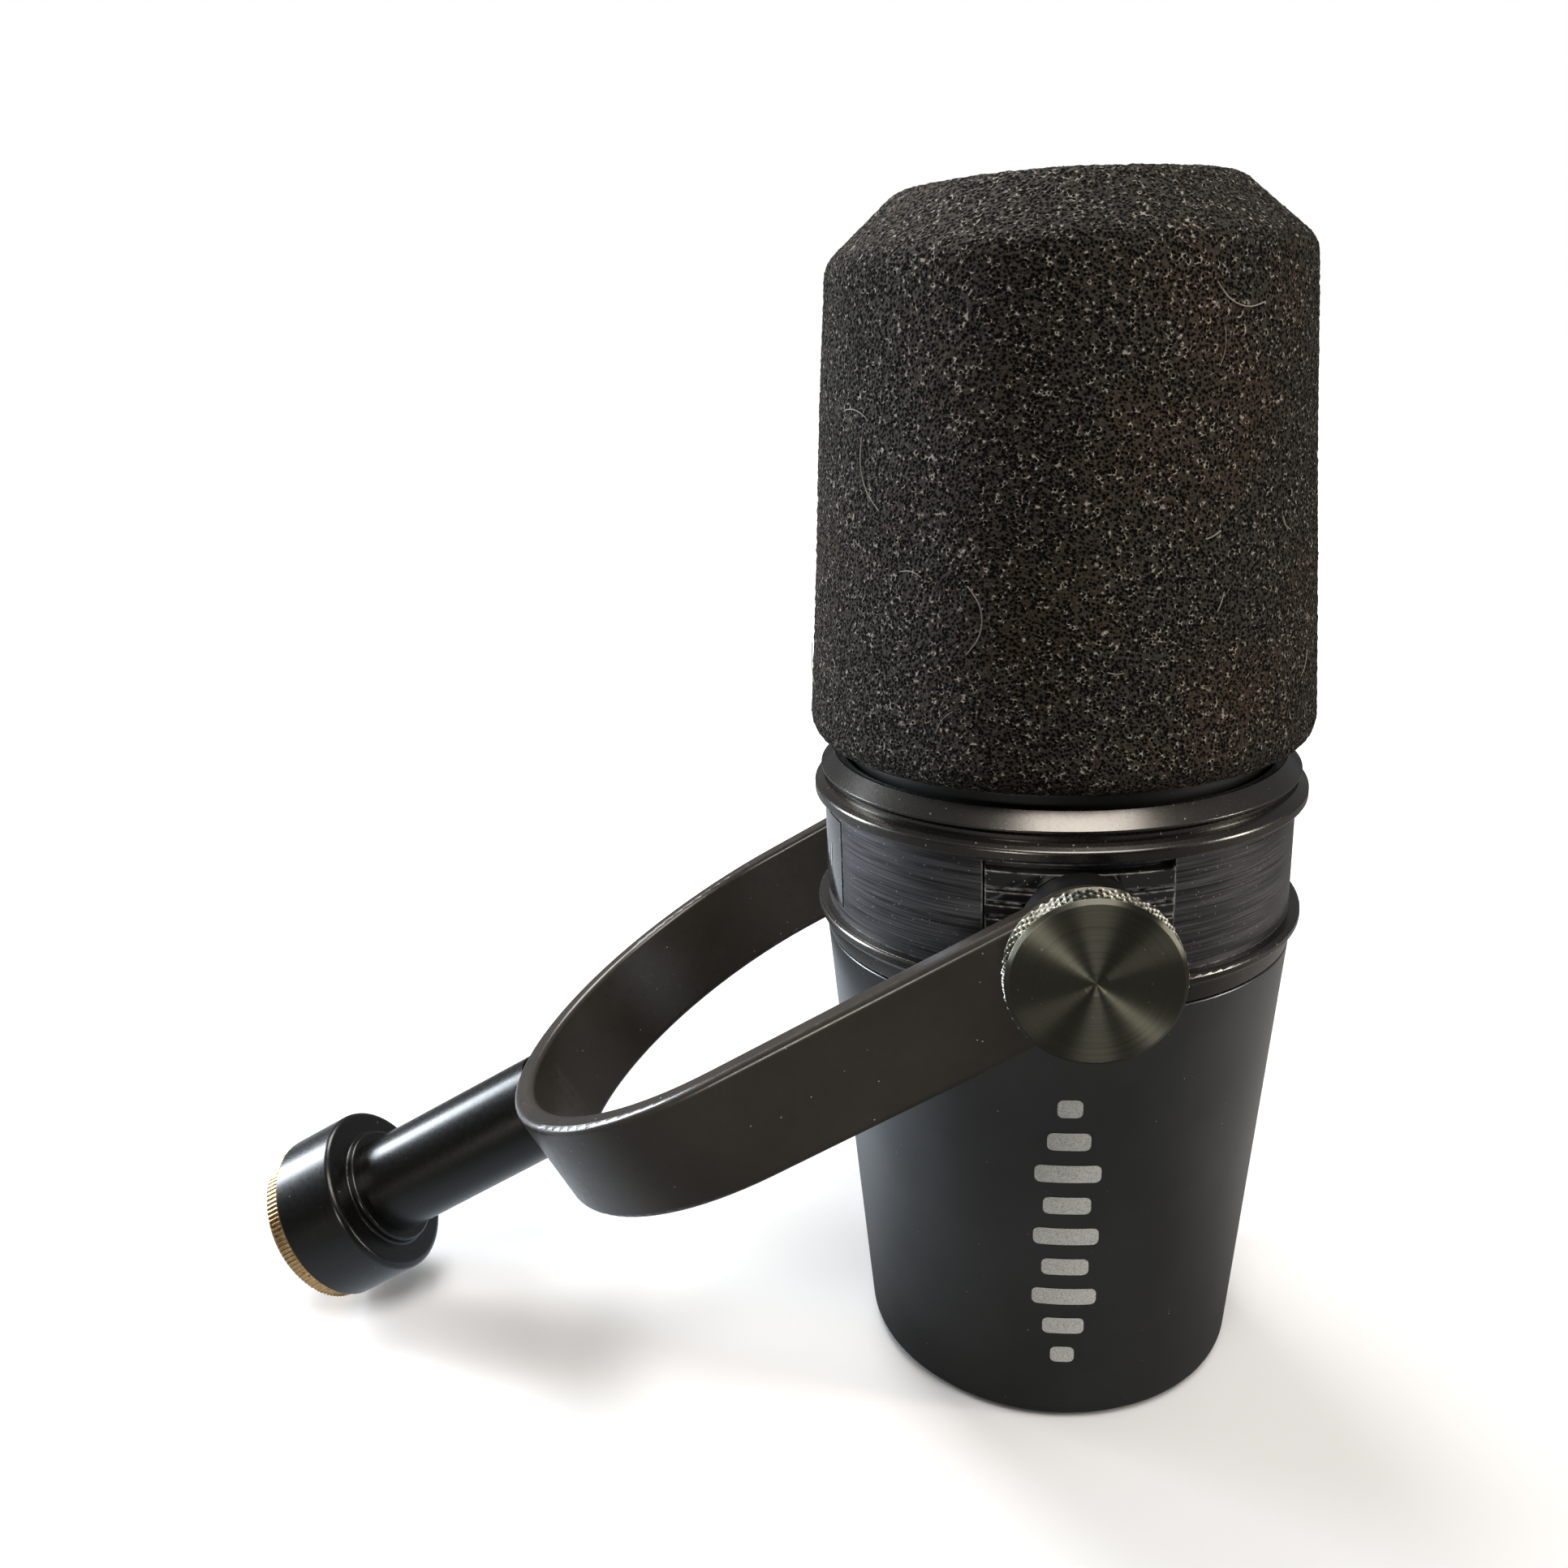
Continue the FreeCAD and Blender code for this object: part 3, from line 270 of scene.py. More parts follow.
def coatMaterial(name, look):
    # coat colour with slow tone, grain, dust film and specks, and bright edges that are rubbed bare on most
    # coats and a painted highlight on the gloss pad
    material, tree, shader = newMaterial(name, metal=look.get("metal", 0.0), Specular_IOR_Level=look["spec"])
    grain = useGroup(tree, "grain", Scale=float(look["grain"]))
    wearAndSheen = useGroup(tree, "edgeWearAndSheen", Strength=look["wearAndSheen"], Radius=look.get("wearRadius", 0.0004))
    dust = useGroup(tree, "dust", Density=look["specks"], Film=look["film"], Scale=3400.0)
    light = tuple(min(1, c * (1 + look["tone"])) for c in look["base"])
    dark = tuple(c * (1 - look["tone"]) for c in look["base"])
    tone = mapRange(tree, grain["Tone"], 0.35, 0.65)
    colour = mixColour(tree, tone, dark, light)
    colour = mixColour(tree, dust["Film"], colour, filmDust)
    # bright edge colour: rubbed wear on most coats, a painted highlight on the gloss pad
    colour = mixColour(tree, wearAndSheen["Mask"], colour, look["wornAndSheen"])
    colour = mixColour(tree, mathNode(tree, "MULTIPLY", dust["Specks"], 0.8), colour, speckDust)
    tree.links.new(colour, shader.inputs["Base Color"])
    low, high = look["rough"]
    rough = mapRange(tree, grain["Height"], 0.3, 0.7, low, high)
    rough = mathNode(tree, "ADD", rough, mathNode(tree, "MULTIPLY", dust["Specks"], 0.4), clamp=True)
    tree.links.new(rough, shader.inputs["Roughness"])
    setBump(tree, shader, grain["Height"], look["bump"], grainRelief)
    return material


materials = {name: coatMaterial(name, look) for name, look in coats.items()}


brushedLook = dict(dark=(0.026, 0.026, 0.029), light=(0.115, 0.113, 0.120), dust=(0.40, 0.39, 0.37),
                   film=(0.14, 0.135, 0.13), bare=(0.45, 0.44, 0.42), fineLines=5200.0, broadLines=900.0)


def brushedBandMaterial():
    # anodised ring, brushed round the microphone's axis
    material, tree, shader = newMaterial("brushed_band", metal=0.85)
    spot = useGroup(tree, "roundAxis", Height=0.0, Lying=0.0)
    turn = mathNode(tree, "MULTIPLY", spot["Angle"], 2.2)
    lines, broad = (
        useGroup(tree, "turnedLines", Off_Axis=spot["Off Axis"], Along=spot["Along"], Angle=turn,
                 Along_Scale=brushedLook[kind])
        for kind in ("fineLines", "broadLines"))
    dust = useGroup(tree, "dust", Density=0.07, Film=0.12, Scale=3600.0)
    wearAndSheen = useGroup(tree, "edgeWearAndSheen", Strength=0.8)
    streak = mathNode(tree, "ADD", mathNode(tree, "MULTIPLY", lines["Lines"], 0.65),
                      mathNode(tree, "MULTIPLY", broad["Lines"], 0.35))
    colour = mixColour(tree, mapRange(tree, streak, 0.38, 0.62), brushedLook["dark"], brushedLook["light"])
    colour = mixColour(tree, dust["Film"], colour, brushedLook["film"])
    colour = mixColour(tree, wearAndSheen["Mask"], colour, brushedLook["bare"])
    colour = mixColour(tree, mathNode(tree, "MULTIPLY", dust["Specks"], 0.75), colour, brushedLook["dust"])
    tree.links.new(colour, shader.inputs["Base Color"])
    tree.links.new(mapRange(tree, streak, 0.3, 0.7, 0.30, 0.52), shader.inputs["Roughness"])
    setBump(tree, shader, streak, 0.5, 0.00003)
    return material


knobLook = dict(face=(0.15, 0.148, 0.118), dark=(0.10, 0.10, 0.080), bare=(0.80, 0.76, 0.68),
                dust=(0.40, 0.38, 0.34), tipStart=0.00016, tipFull=0.00002)


def knobMaterial():
    # spun face with rings about the pivot line, and bare tips on the knurl
    material, tree, shader = newMaterial("knob_metal", metal=1.0, Anisotropic=0.97, Anisotropic_Rotation=0.25)
    spot = useGroup(tree, "roundAxis", Height=pivotHeight, Lying=1.0)
    rings = useGroup(tree, "turnedLines", Off_Axis=spot["Off Axis"], Along=0.0,
                     Angle=mathNode(tree, "MULTIPLY", spot["Angle"], 0.3), Off_Scale=14000.0)
    wearAndSheen = useGroup(tree, "edgeWearAndSheen", Strength=1.0, Radius=0.00022)
    dust = useGroup(tree, "dust", Density=0.02, Film=0.04, Scale=3400.0)
    colour = mixColour(tree, mapRange(tree, rings["Lines"], 0.30, 0.70), knobLook["dark"], knobLook["face"])
    tips = mapRange(tree, spot["Off Axis"], knobRadius - knobLook["tipStart"],
                    knobRadius - knobLook["tipFull"])
    bare = mathNode(tree, "MAXIMUM", wearAndSheen["Mask"], mathNode(tree, "MULTIPLY", tips, 0.9), clamp=True)
    colour = mixColour(tree, bare, colour, knobLook["bare"])
    colour = mixColour(tree, mathNode(tree, "MULTIPLY", dust["Specks"], 0.6), colour, knobLook["dust"])
    tree.links.new(colour, shader.inputs["Base Color"])
    tree.links.new(mapRange(tree, rings["Lines"], 0.3, 0.7, 0.38, 0.44), shader.inputs["Roughness"])
    setBump(tree, shader, rings["Lines"], 0.12, 0.00001)
    tangent = addNode(tree, "ShaderNodeTangent", direction_type="RADIAL", axis="Y")
    tree.links.new(tangent.outputs[0], shader.inputs["Tangent"])
    return material


brassLook = dict(bright=(0.78, 0.50, 0.22), dull=(0.34, 0.20, 0.08), stain=(0.10, 0.06, 0.03),
                 bare=(0.95, 0.72, 0.42))


def brassMaterial():
    # brass with darker stains in its hollows
    material, tree, shader = newMaterial("brass", metal=1.0)
    grain = useGroup(tree, "grain", Scale=1400.0, Tone_Scale=220.0)
    wearAndSheen = useGroup(tree, "edgeWearAndSheen", Strength=0.9, Radius=0.0003)
    tone = mapRange(tree, grain["Tone"], 0.36, 0.64)
    colour = mixColour(tree, tone, brassLook["dull"], brassLook["bright"])
    colour = mixColour(tree, mapRange(tree, grain["Height"], 0.58, 0.72), colour, brassLook["stain"])
    colour = mixColour(tree, wearAndSheen["Mask"], colour, brassLook["bare"])
    tree.links.new(colour, shader.inputs["Base Color"])
    tree.links.new(mapRange(tree, grain["Height"], 0.3, 0.7, 0.22, 0.40), shader.inputs["Roughness"])
    setBump(tree, shader, grain["Height"], 0.15, grainRelief)
    return material


touchLook = dict(clean=(0.010, 0.010, 0.012), smeared=(0.020, 0.020, 0.022), dust=(0.4, 0.39, 0.36))


def touchMaterial():
    # smoke-coloured gloss cover with finger marks in its roughness
    material, tree, shader = newMaterial("touch_cover", Specular_IOR_Level=0.6, Coat_Roughness=0.05)
    grain = useGroup(tree, "grain", Scale=900.0, Tone_Scale=130.0)
    dust = useGroup(tree, "dust", Density=0.16, Film=0.15)
    smear = mapRange(tree, grain["Tone"], 0.42, 0.66)
    colour = mixColour(tree, smear, touchLook["clean"], touchLook["smeared"])
    colour = mixColour(tree, mathNode(tree, "MULTIPLY", dust["Specks"], 0.7), colour, touchLook["dust"])
    tree.links.new(colour, shader.inputs["Base Color"])
    tree.links.new(mathNode(tree, "MULTIPLY_ADD", smear, 0.16, 0.06), shader.inputs["Roughness"])
    tree.links.new(mathNode(tree, "SUBTRACT", 0.6, mathNode(tree, "MULTIPLY", smear, 0.3)),
                   shader.inputs["Coat Weight"])
    setBump(tree, shader, grain["Tone"], 0.03, 0.00005)
    return material


foamLook = dict(paintedPoreShade=(0.0010, 0.0008, 0.0006), strut=(0.037, 0.031, 0.025), paintedGlint=(0.32, 0.285, 0.245),
                poreScale=2050.0, tint=(0.045, 0.030, 0.018), cellDepth=0.0009)


def foamMaterial(name, look, strength=1.0):
    # open cells: pores painted near black as painted shade between thin struts, and a few strut tips painted
    # pale as painted glints
    material, tree, shader = newMaterial(name, rough=0.85, Specular_IOR_Level=0.12)
    place = tree.nodes.new("ShaderNodeTexCoord").outputs["Object"]
    size = look["poreScale"]
    knots = addNode(tree, "ShaderNodeTexNoise", {
        "Vector": place, "Scale": size, "Detail": 3.0, "Roughness": 0.62})
    cells = addNode(tree, "ShaderNodeTexVoronoi", {"Vector": place, "Scale": size * 1.25})
    pick = addNode(tree, "ShaderNodeSeparateColor", {0: cells.outputs["Color"]}).outputs
    slow = addNode(tree, "ShaderNodeTexNoise", {"Vector": place, "Scale": 55.0, "Detail": 3.0})
    hollow = mapRange(tree, cells.outputs["Distance"], 0.15, 0.60)
    raised = mathNode(tree, "ADD", mathNode(tree, "MULTIPLY", knots.outputs[0], 0.62),
                      mathNode(tree, "MULTIPLY", hollow, 0.30))
    strut = mapRange(tree, raised, 0.44, 0.62)
    # the low places between the struts are painted near black: painted shade in the cells
    colour = mixColour(tree, strut, look["paintedPoreShade"], look["strut"])
    warm = mathNode(tree, "MULTIPLY", mapRange(tree, slow.outputs[0], 0.5, 0.7), strut)
    colour = mixColour(tree, warm, colour, look["tint"])
    # painted glints: pale colour on a few raised strut tips, a painted highlight
    tips = mathNode(tree, "MULTIPLY", mapRange(tree, raised, 0.56, 0.63),
                    mathNode(tree, "LESS_THAN", pick[0], 0.13))
    colour = mixColour(tree, tips, colour, look["paintedGlint"])
    tree.links.new(colour, shader.inputs["Base Color"])
    tree.links.new(mapRange(tree, strut, 0.0, 1.0, 0.95, 0.55), shader.inputs["Roughness"])
    setBump(tree, shader, raised, strength, look["cellDepth"])
    return material


lintLook = dict(dark=(0.10, 0.085, 0.065), light=(0.32, 0.29, 0.25))
inkLook = dict(dark=(0.40, 0.41, 0.40), light=(0.64, 0.65, 0.63))


def lintMaterial():
    # pale fibre, a little darker along its length
    material, tree, shader = newMaterial("lint", rough=0.6, Specular_IOR_Level=0.4)
    grain = useGroup(tree, "grain", Scale=1200.0, Tone_Scale=300.0)
    colour = mixColour(tree, mapRange(tree, grain["Tone"], 0.35, 0.65), lintLook["dark"], lintLook["light"])
    tree.links.new(colour, shader.inputs["Base Color"])
    return material


def printMaterial():
    # screen-printed grey ink, thin in places
    material, tree, shader = newMaterial("printed_ink", rough=0.5)
    grain = useGroup(tree, "grain", Scale=5200.0, Tone_Scale=500.0)
    colour = mixColour(tree, mapRange(tree, grain["Height"], 0.34, 0.60), inkLook["dark"], inkLook["light"])
    tree.links.new(colour, shader.inputs["Base Color"])
    tree.links.new(mapRange(tree, grain["Tone"], 0.3, 0.7, 0.40, 0.60), shader.inputs["Roughness"])
    return material


materials["brushed_band"] = brushedBandMaterial()
materials["knob_metal"] = knobMaterial()
materials["brass"] = brassMaterial()
materials["touch_cover"] = touchMaterial()
materials["foam"] = foamMaterial("foam", foamLook)
materials["liner_foam"] = foamMaterial("liner_foam", dict(foamLook, poreScale=1100.0), 0.7)
materials["lint"] = lintMaterial()
materials["printed_ink"] = printMaterial()

# the grille ring takes the near-black plastic, partly painted shade for the gap under the foam
ownCoats = dict(yoke_post="satin_black", stand_collar="satin_black", post_screw="satin_black",
                grille_ring="black_plastic")

for part in frame["record"]["subparts"]:
    cadObject = frame["nodes"][part["node"]]
    cadObject.data.materials.clear()
    cadObject.data.materials.append(materials[ownCoats.get(part["node"], part["material_slot"])])
print("materials ready:", len(materials))


def addObject(name, data):
    piece = bpy.data.objects.new(name, data)
    bpy.context.scene.collection.objects.link(piece)
    return piece


def newPiece(name, vertices, faces, materialName, smooth=True):
    mesh = bpy.data.meshes.new(name)
    mesh.from_pydata([tuple(v) for v in vertices], [], faces)
    mesh.materials.append(materials[materialName])
    mesh.validate()
    if smooth:
        mesh.shade_smooth()
    return addObject(name, mesh)


def plainMesh(maker):
    # the mesh that an object's curve or modifiers give, and the object is gone
    bpy.context.view_layer.update()
    mesh = bpy.data.meshes.new_from_object(maker.evaluated_get(bpy.context.evaluated_depsgraph_get()))
    bpy.data.objects.remove(maker)
    return mesh


def roundedOutline(points, steps=6):
    # (radius, height, rounding) corners to a polyline whose corners are short arcs
    flat = [Vector((p[0], p[1])) for p in points]
    line = []
    for index, point in enumerate(points):
        here = flat[index]
        rounding = point[2] if len(point) > 2 else 0
        if not rounding:
            line.append(here)
            continue
        back = (flat[index - 1] - here).normalized()
        ahead = (flat[(index + 1) % len(flat)] - here).normalized()
        half = back.angle(ahead) / 2
        reach = rounding / math.tan(half)
        start, end = here + back * reach, here + ahead * reach
        centre = here + (back + ahead).normalized() * (rounding / math.sin(half))
        for step in range(steps + 1):
            spot = start.lerp(end, step / steps) - centre
            line.append(centre + spot.normalized() * rounding)
    return line


def evenSteps(line, spacing):
    # the same line with points no further apart than the spacing
    out = [line[0]]
    for a, b in zip(line, line[1:]):
        count = max(1, math.ceil((b - a).length / spacing))
        out += [a.lerp(b, k / count) for k in range(1, count + 1)]
    return out


onAxis = 1e-7


def spunMesh(line, columns, closed=False):
    # turns (radius, height) points about Z; points on the axis become one vertex
    vertices, rows = [], []
    for point in line:
        if point[0] < onAxis:
            rows.append([len(vertices)] * columns)
            vertices.append((0, 0, point[1]))
            continue
        rows.append(list(range(len(vertices), len(vertices) + columns)))
        for k in range(columns):
            angle = 2 * math.pi * k / columns
            vertices.append((point[0] * math.cos(angle), point[0] * math.sin(angle), point[1]))
    faces = []
    pairs = list(zip(rows, rows[1:])) + ([(rows[-1], rows[0])] if closed else [])
    for low, high in pairs:
        for k in range(columns):
            n = (k + 1) % columns
            ring = []
            for index in (low[k], low[n], high[n], high[k]):
                if index not in ring:
                    ring.append(index)
            if len(ring) > 2:
                faces.append(ring)
    return vertices, faces


foamShape = dict(shoulderRadius=0.0281, topRadius=0.0196, shoulderDrop=0.0080, crown=0.0005, footRound=0.0034,
                 shoulderRound=0.0040, topRound=0.0034, cavityRadius=0.0253, cavityDrop=0.0062,
                 cavityRound=0.009, spacing=0.00038, columns=500, relief=0.00024, slump=0.00016,
                 cavitySpacing=0.003, fineCells=3100, cells=1500, slowWaves=45)


def foamProfile():
    low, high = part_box("foam_windscreen")
    shape = foamShape
    outside = roundedOutline([
        (shape["cavityRadius"], low.z), (high.x, low.z, shape["footRound"]),
        (shape["shoulderRadius"], high.z - shape["shoulderDrop"], shape["shoulderRound"]),
        (shape["topRadius"], high.z - shape["crown"], shape["topRound"]), (0, high.z),
    ], 8)
    inside = roundedOutline([
        (0, high.z - shape["cavityDrop"]),
        (shape["cavityRadius"], high.z - shape["cavityDrop"], shape["cavityRound"]),
        (shape["cavityRadius"], low.z),
    ], 6)
    return outside, inside


def makeFoam():
    # closed form: even rows outside with cell relief, coarse rows in the cavity
    outside, inside = foamProfile()
    shape = foamShape
    outsideRows = evenSteps(outside, shape["spacing"])
    line = outsideRows + evenSteps(inside, shape["cavitySpacing"])[:-1]
    vertices, faces = spunMesh(line, shape["columns"], closed=True)
    piece = newPiece("windscreen_foam", vertices, faces, "foam")
    mesh = piece.data
    spots, normals = np.zeros((2, len(mesh.vertices), 3), np.float32)
    mesh.vertices.foreach_get("co", spots.ravel())
    mesh.vertices.foreach_get("normal", normals.ravel())
    outsideCount = sum(1 if point[0] < onAxis else shape["columns"] for point in outsideRows)
    for index in range(outsideCount):
        spot = Vector(spots[index])
        cell = noise.noise(spot * shape["cells"]) * 0.6 + noise.noise(spot * shape["fineCells"]) * 0.4
        slow = noise.noise(spot * shape["slowWaves"])
        spots[index] += normals[index] * (cell * shape["relief"] + (slow - 0.2) * shape["slump"])
    mesh.vertices.foreach_set("co", spots.ravel())
    mesh.update()
    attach(piece, "windscreen")
    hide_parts("foam_windscreen")
    return piece


foam = makeFoam()
print("foam windscreen:", len(foam.data.polygons), "faces")


linerShape = dict(wall=0.0015, corner=0.0082, outerSpacing=0.0012, innerSpacing=0.002, columns=160, cells=900,
                  relief=0.00012)


def makeLiner():
    # thin foam layer inside the grille, with a coarser relief
    low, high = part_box("pop_filter_liner")
    shape = linerShape
    wall, corner = shape["wall"], shape["corner"]
    outer = [(high.x, low.z), (high.x, high.z, corner), (0, high.z)]
    inner = [(0, high.z - wall), (high.x - wall, high.z - wall, corner - wall), (high.x - wall, low.z)]
    line = evenSteps(roundedOutline(outer, 8), shape["outerSpacing"])
    line += evenSteps(roundedOutline(inner, 8), shape["innerSpacing"])
    vertices, faces = spunMesh(line, shape["columns"], closed=True)
    moved = []
    for vertex in vertices:
        spot = Vector(vertex)
        push = (noise.noise(spot * shape["cells"]) - 0.7) * shape["relief"]
        flat = Vector((spot.x, spot.y, 0))
        moved.append(spot + flat.normalized() * push if flat.length > 1e-6 else spot)
    piece = newPiece("pop_filter_foam", moved, faces, "liner_foam")
    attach(piece, "microphone")
    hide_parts("pop_filter_liner")


makeLiner()

lintLift, lintPoints = 0.00018, 6
lintFibres = [  # azimuth, height, length, lean, bend, thickness
    (-64, 0.1405, 0.0075, -52, 0.9, 0.00007), (-62, 0.1362, 0.0040, -80, -0.5, 0.00005),
    (-150, 0.1290, 0.0050, 6, -0.5, 0.00006), (-143, 0.1262, 0.0090, -98, 0.8, 0.00006),
    (-114, 0.1110, 0.0085, -48, -1.1, 0.00008), (-44, 0.1165, 0.0024, -75, 0.8, 0.00010),
    (-66, 0.1152, 0.0020, 10, 0.3, 0.00009), (-63, 0.1075, 0.0022, 60, 0.2, 0.00006),
    (-35, 0.0980, 0.0035, 30, 0.6, 0.00005), (-120, 0.0950, 0.0030, 70, -0.5, 0.00005),
    (-86, 0.1020, 0.0018, -20, 0.4, 0.00007), (20, 0.1200, 0.0060, 40, 0.9, 0.00006),
    (75, 0.1050, 0.0070, -30, -0.8, 0.00006), (140, 0.1300, 0.0050, 65, 0.6, 0.00006),
    (185, 0.1000, 0.0065, -70, 0.7, 0.00006), (230, 0.1120, 0.0030, 15, -0.6, 0.00006),
]


def makeLint():
    # short curved fibres that lie on the foam
    low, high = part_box("foam_windscreen")
    taper = (foamShape["shoulderRadius"] - high.x) / (high.z - foamShape["shoulderDrop"] - low.z)
    curve = bpy.data.curves.new("lint", "CURVE")
    curve.dimensions = "3D"
    curve.bevel_resolution = 1
    curve.bevel_depth = 1.0
    curve.use_fill_caps = True
    for azimuth, height, length, lean, bend, thickness in lintFibres:
        spline = curve.splines.new("NURBS")
        spline.points.add(lintPoints - 1)
        sideways, up = 0.0, height
        angle = math.radians(lean)
        for point in spline.points:
            radius = high.x + taper * (up - low.z) + lintLift
            turn = math.radians(azimuth) + sideways / radius
            point.co = (radius * math.cos(turn), radius * math.sin(turn), up, 1)
            point.radius = thickness
            sideways += math.cos(angle) * length / (lintPoints - 1)
            up += math.sin(angle) * length / (lintPoints - 1)
            angle += bend / 3
        spline.order_u = 3
        spline.use_endpoint_u = True
    mesh = plainMesh(addObject("lintMaker", curve))
    mesh.name = "windscreen_lint"
    mesh.materials.clear()
    mesh.materials.append(materials["lint"])
    piece = addObject("windscreen_lint", mesh)
    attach(piece, "windscreen")


makeLint()
print("lint and liner ready")


def newGeometryTree(name, inputs):
    tree = bpy.data.node_groups.new(name, "GeometryNodeTree")
    tree.interface.new_socket("Geometry", in_out="INPUT", socket_type="NodeSocketGeometry")
    kinds = {type(None): "NodeSocketMaterial", int: "NodeSocketInt", float: "NodeSocketFloat"}
    for label, value in inputs.items():
        kind = kinds[type(value)]
        socket = tree.interface.new_socket(label, in_out="INPUT", socket_type=kind)
        if value is not None:
            socket.default_value = value
    tree.interface.new_socket("Geometry", in_out="OUTPUT", socket_type="NodeSocketGeometry")
    return tree, tree.nodes.new("NodeGroupInput").outputs, tree.nodes.new("NodeGroupOutput").inputs


def finishTree(tree, out, geometry, material):
    real = addNode(tree, "GeometryNodeRealizeInstances", {0: geometry})
    painted = addNode(tree, "GeometryNodeSetMaterial", {"Geometry": real.outputs[0], "Material": material})
    tree.links.new(painted.outputs[0], out["Geometry"])


def grow(name, tree, inputs, start=None):
    # runs a tree on a start mesh and gives the plain mesh that comes out
    maker = addObject(name + "Maker", start or bpy.data.meshes.new(name + "Start"))
    modifier = maker.modifiers.new(name, "NODES")
    modifier.node_group = tree
    for item in tree.interface.items_tree:
        if item.item_type == "SOCKET" and item.in_out == "INPUT" and item.name in inputs:
            modifier[item.identifier] = inputs[item.name]
    mesh = plainMesh(maker)
    mesh.name = name
    return mesh


def turnedBody(name, line, columns, sharpAngle, materialName):
    # a closed turned body whose edges stay sharp where it turns by more than the angle
    vertices, faces = spunMesh(line, columns, closed=True)
    body = bpy.data.meshes.new(name)
    body.from_pydata(vertices, [], faces)
    body.shade_smooth()
    body.set_sharp_from_angle(angle=math.radians(sharpAngle))
    body.materials.append(materials[materialName])
    return body


def joinMeshes(name, meshes):
    # one object from several meshes, each already in place
    pieces = [addObject(name + str(index), mesh) for index, mesh in enumerate(meshes)]
    with bpy.context.temp_override(active_object=pieces[0], selected_editable_objects=pieces):
        bpy.ops.object.join()
    pieces[0].name = name
    return pieces[0]


def roundPlace(tree, line, radius, turn, height):
    # the line's points, moved to their places round the Z axis
    spot = addNode(tree, "ShaderNodeCombineXYZ", {
        0: mathNode(tree, "MULTIPLY", radius, mathNode(tree, "COSINE", turn)),
        1: mathNode(tree, "MULTIPLY", radius, mathNode(tree, "SINE", turn)), 2: height})
    return addNode(tree, "GeometryNodeSetPosition", {
        "Geometry": line.outputs[0], "Position": spot.outputs[0]})


def makeKnurlTree():
    # rows of four-sided pyramids whose bases meet, the next row moved on by half a pyramid
    tree, given, out = newGeometryTree("knurl", {
        "Round": 46, "Rows": 4, "Radius": 0.0091, "Tall": 0.0013, "Low": 0.0, "Depth": 0.0004,
        "Tip": 0.16, "Material": None})
    total = mathNode(tree, "MULTIPLY", given["Round"], given["Rows"])
    line = addNode(tree, "GeometryNodeMeshLine", {"Count": total, "Offset": (0, 0, 0)})
    index = tree.nodes.new("GeometryNodeInputIndex").outputs[0]
    row = mathNode(tree, "FLOOR", mathNode(tree, "DIVIDE", index, given["Round"]))
    half = mathNode(tree, "MULTIPLY", mathNode(tree, "MODULO", row, 2.0), 0.5)
    step = mathNode(tree, "DIVIDE", 2 * math.pi, given["Round"])
    turn = mathNode(tree, "MULTIPLY", mathNode(tree, "ADD", index, half), step)
    height = mathNode(tree, "ADD", given["Low"], mathNode(
        tree, "MULTIPLY", mathNode(tree, "ADD", row, 1.0), mathNode(tree, "MULTIPLY", given["Tall"], 0.5)))
    placed = roundPlace(tree, line, given["Radius"], turn, height)
    pyramid = addNode(tree, "GeometryNodeMeshCone", {
        "Vertices": 4, "Radius Top": given["Tip"], "Radius Bottom": 1.0, "Depth": 1.0})
    width = mathNode(tree, "MULTIPLY", mathNode(tree, "MULTIPLY", given["Radius"], step), 0.5)
    size = addNode(tree, "ShaderNodeCombineXYZ", {
        0: width, 1: mathNode(tree, "MULTIPLY", given["Tall"], 0.5), 2: given["Depth"]})
    facing = addNode(tree, "ShaderNodeCombineXYZ", {
        0: math.pi / 2, 2: mathNode(tree, "ADD", turn, math.pi / 2)})
    stood = addNode(tree, "GeometryNodeInstanceOnPoints", {
        "Points": placed.outputs[0], "Instance": pyramid.outputs["Mesh"],
        "Rotation": facing.outputs[0], "Scale": size.outputs[0]})
    finishTree(tree, out, stood.outputs[0], given["Material"])
    return tree


def makeRidgeTree():
    # short straight ridges round a rim
    tree, given, out = newGeometryTree("ridges", {
        "Count": 72, "Radius": 0.0118, "Length": 0.0014, "Width": 0.0005, "Depth": 0.0003, "Low": 0.0,
        "Material": None})
    line = addNode(tree, "GeometryNodeMeshLine", {"Count": given["Count"], "Offset": (0, 0, 0)})
    index = tree.nodes.new("GeometryNodeInputIndex").outputs[0]
    turn = mathNode(tree, "MULTIPLY", index, mathNode(tree, "DIVIDE", 2 * math.pi, given["Count"]))
    height = mathNode(tree, "ADD", given["Low"], mathNode(tree, "MULTIPLY", given["Length"], 0.5))
    placed = roundPlace(tree, line, given["Radius"], turn, height)
    ridge = addNode(tree, "GeometryNodeMeshCylinder", {"Vertices": 6, "Radius": 1.0, "Depth": 1.0})
    size = addNode(tree, "ShaderNodeCombineXYZ", {
        0: given["Depth"], 1: mathNode(tree, "MULTIPLY", given["Width"], 0.5), 2: given["Length"]})
    facing = addNode(tree, "ShaderNodeCombineXYZ", {2: turn})
    stood = addNode(tree, "GeometryNodeInstanceOnPoints", {
        "Points": placed.outputs[0], "Instance": ridge.outputs["Mesh"],
        "Rotation": facing.outputs[0], "Scale": size.outputs[0]})
    finishTree(tree, out, stood.outputs[0], given["Material"])
    return tree


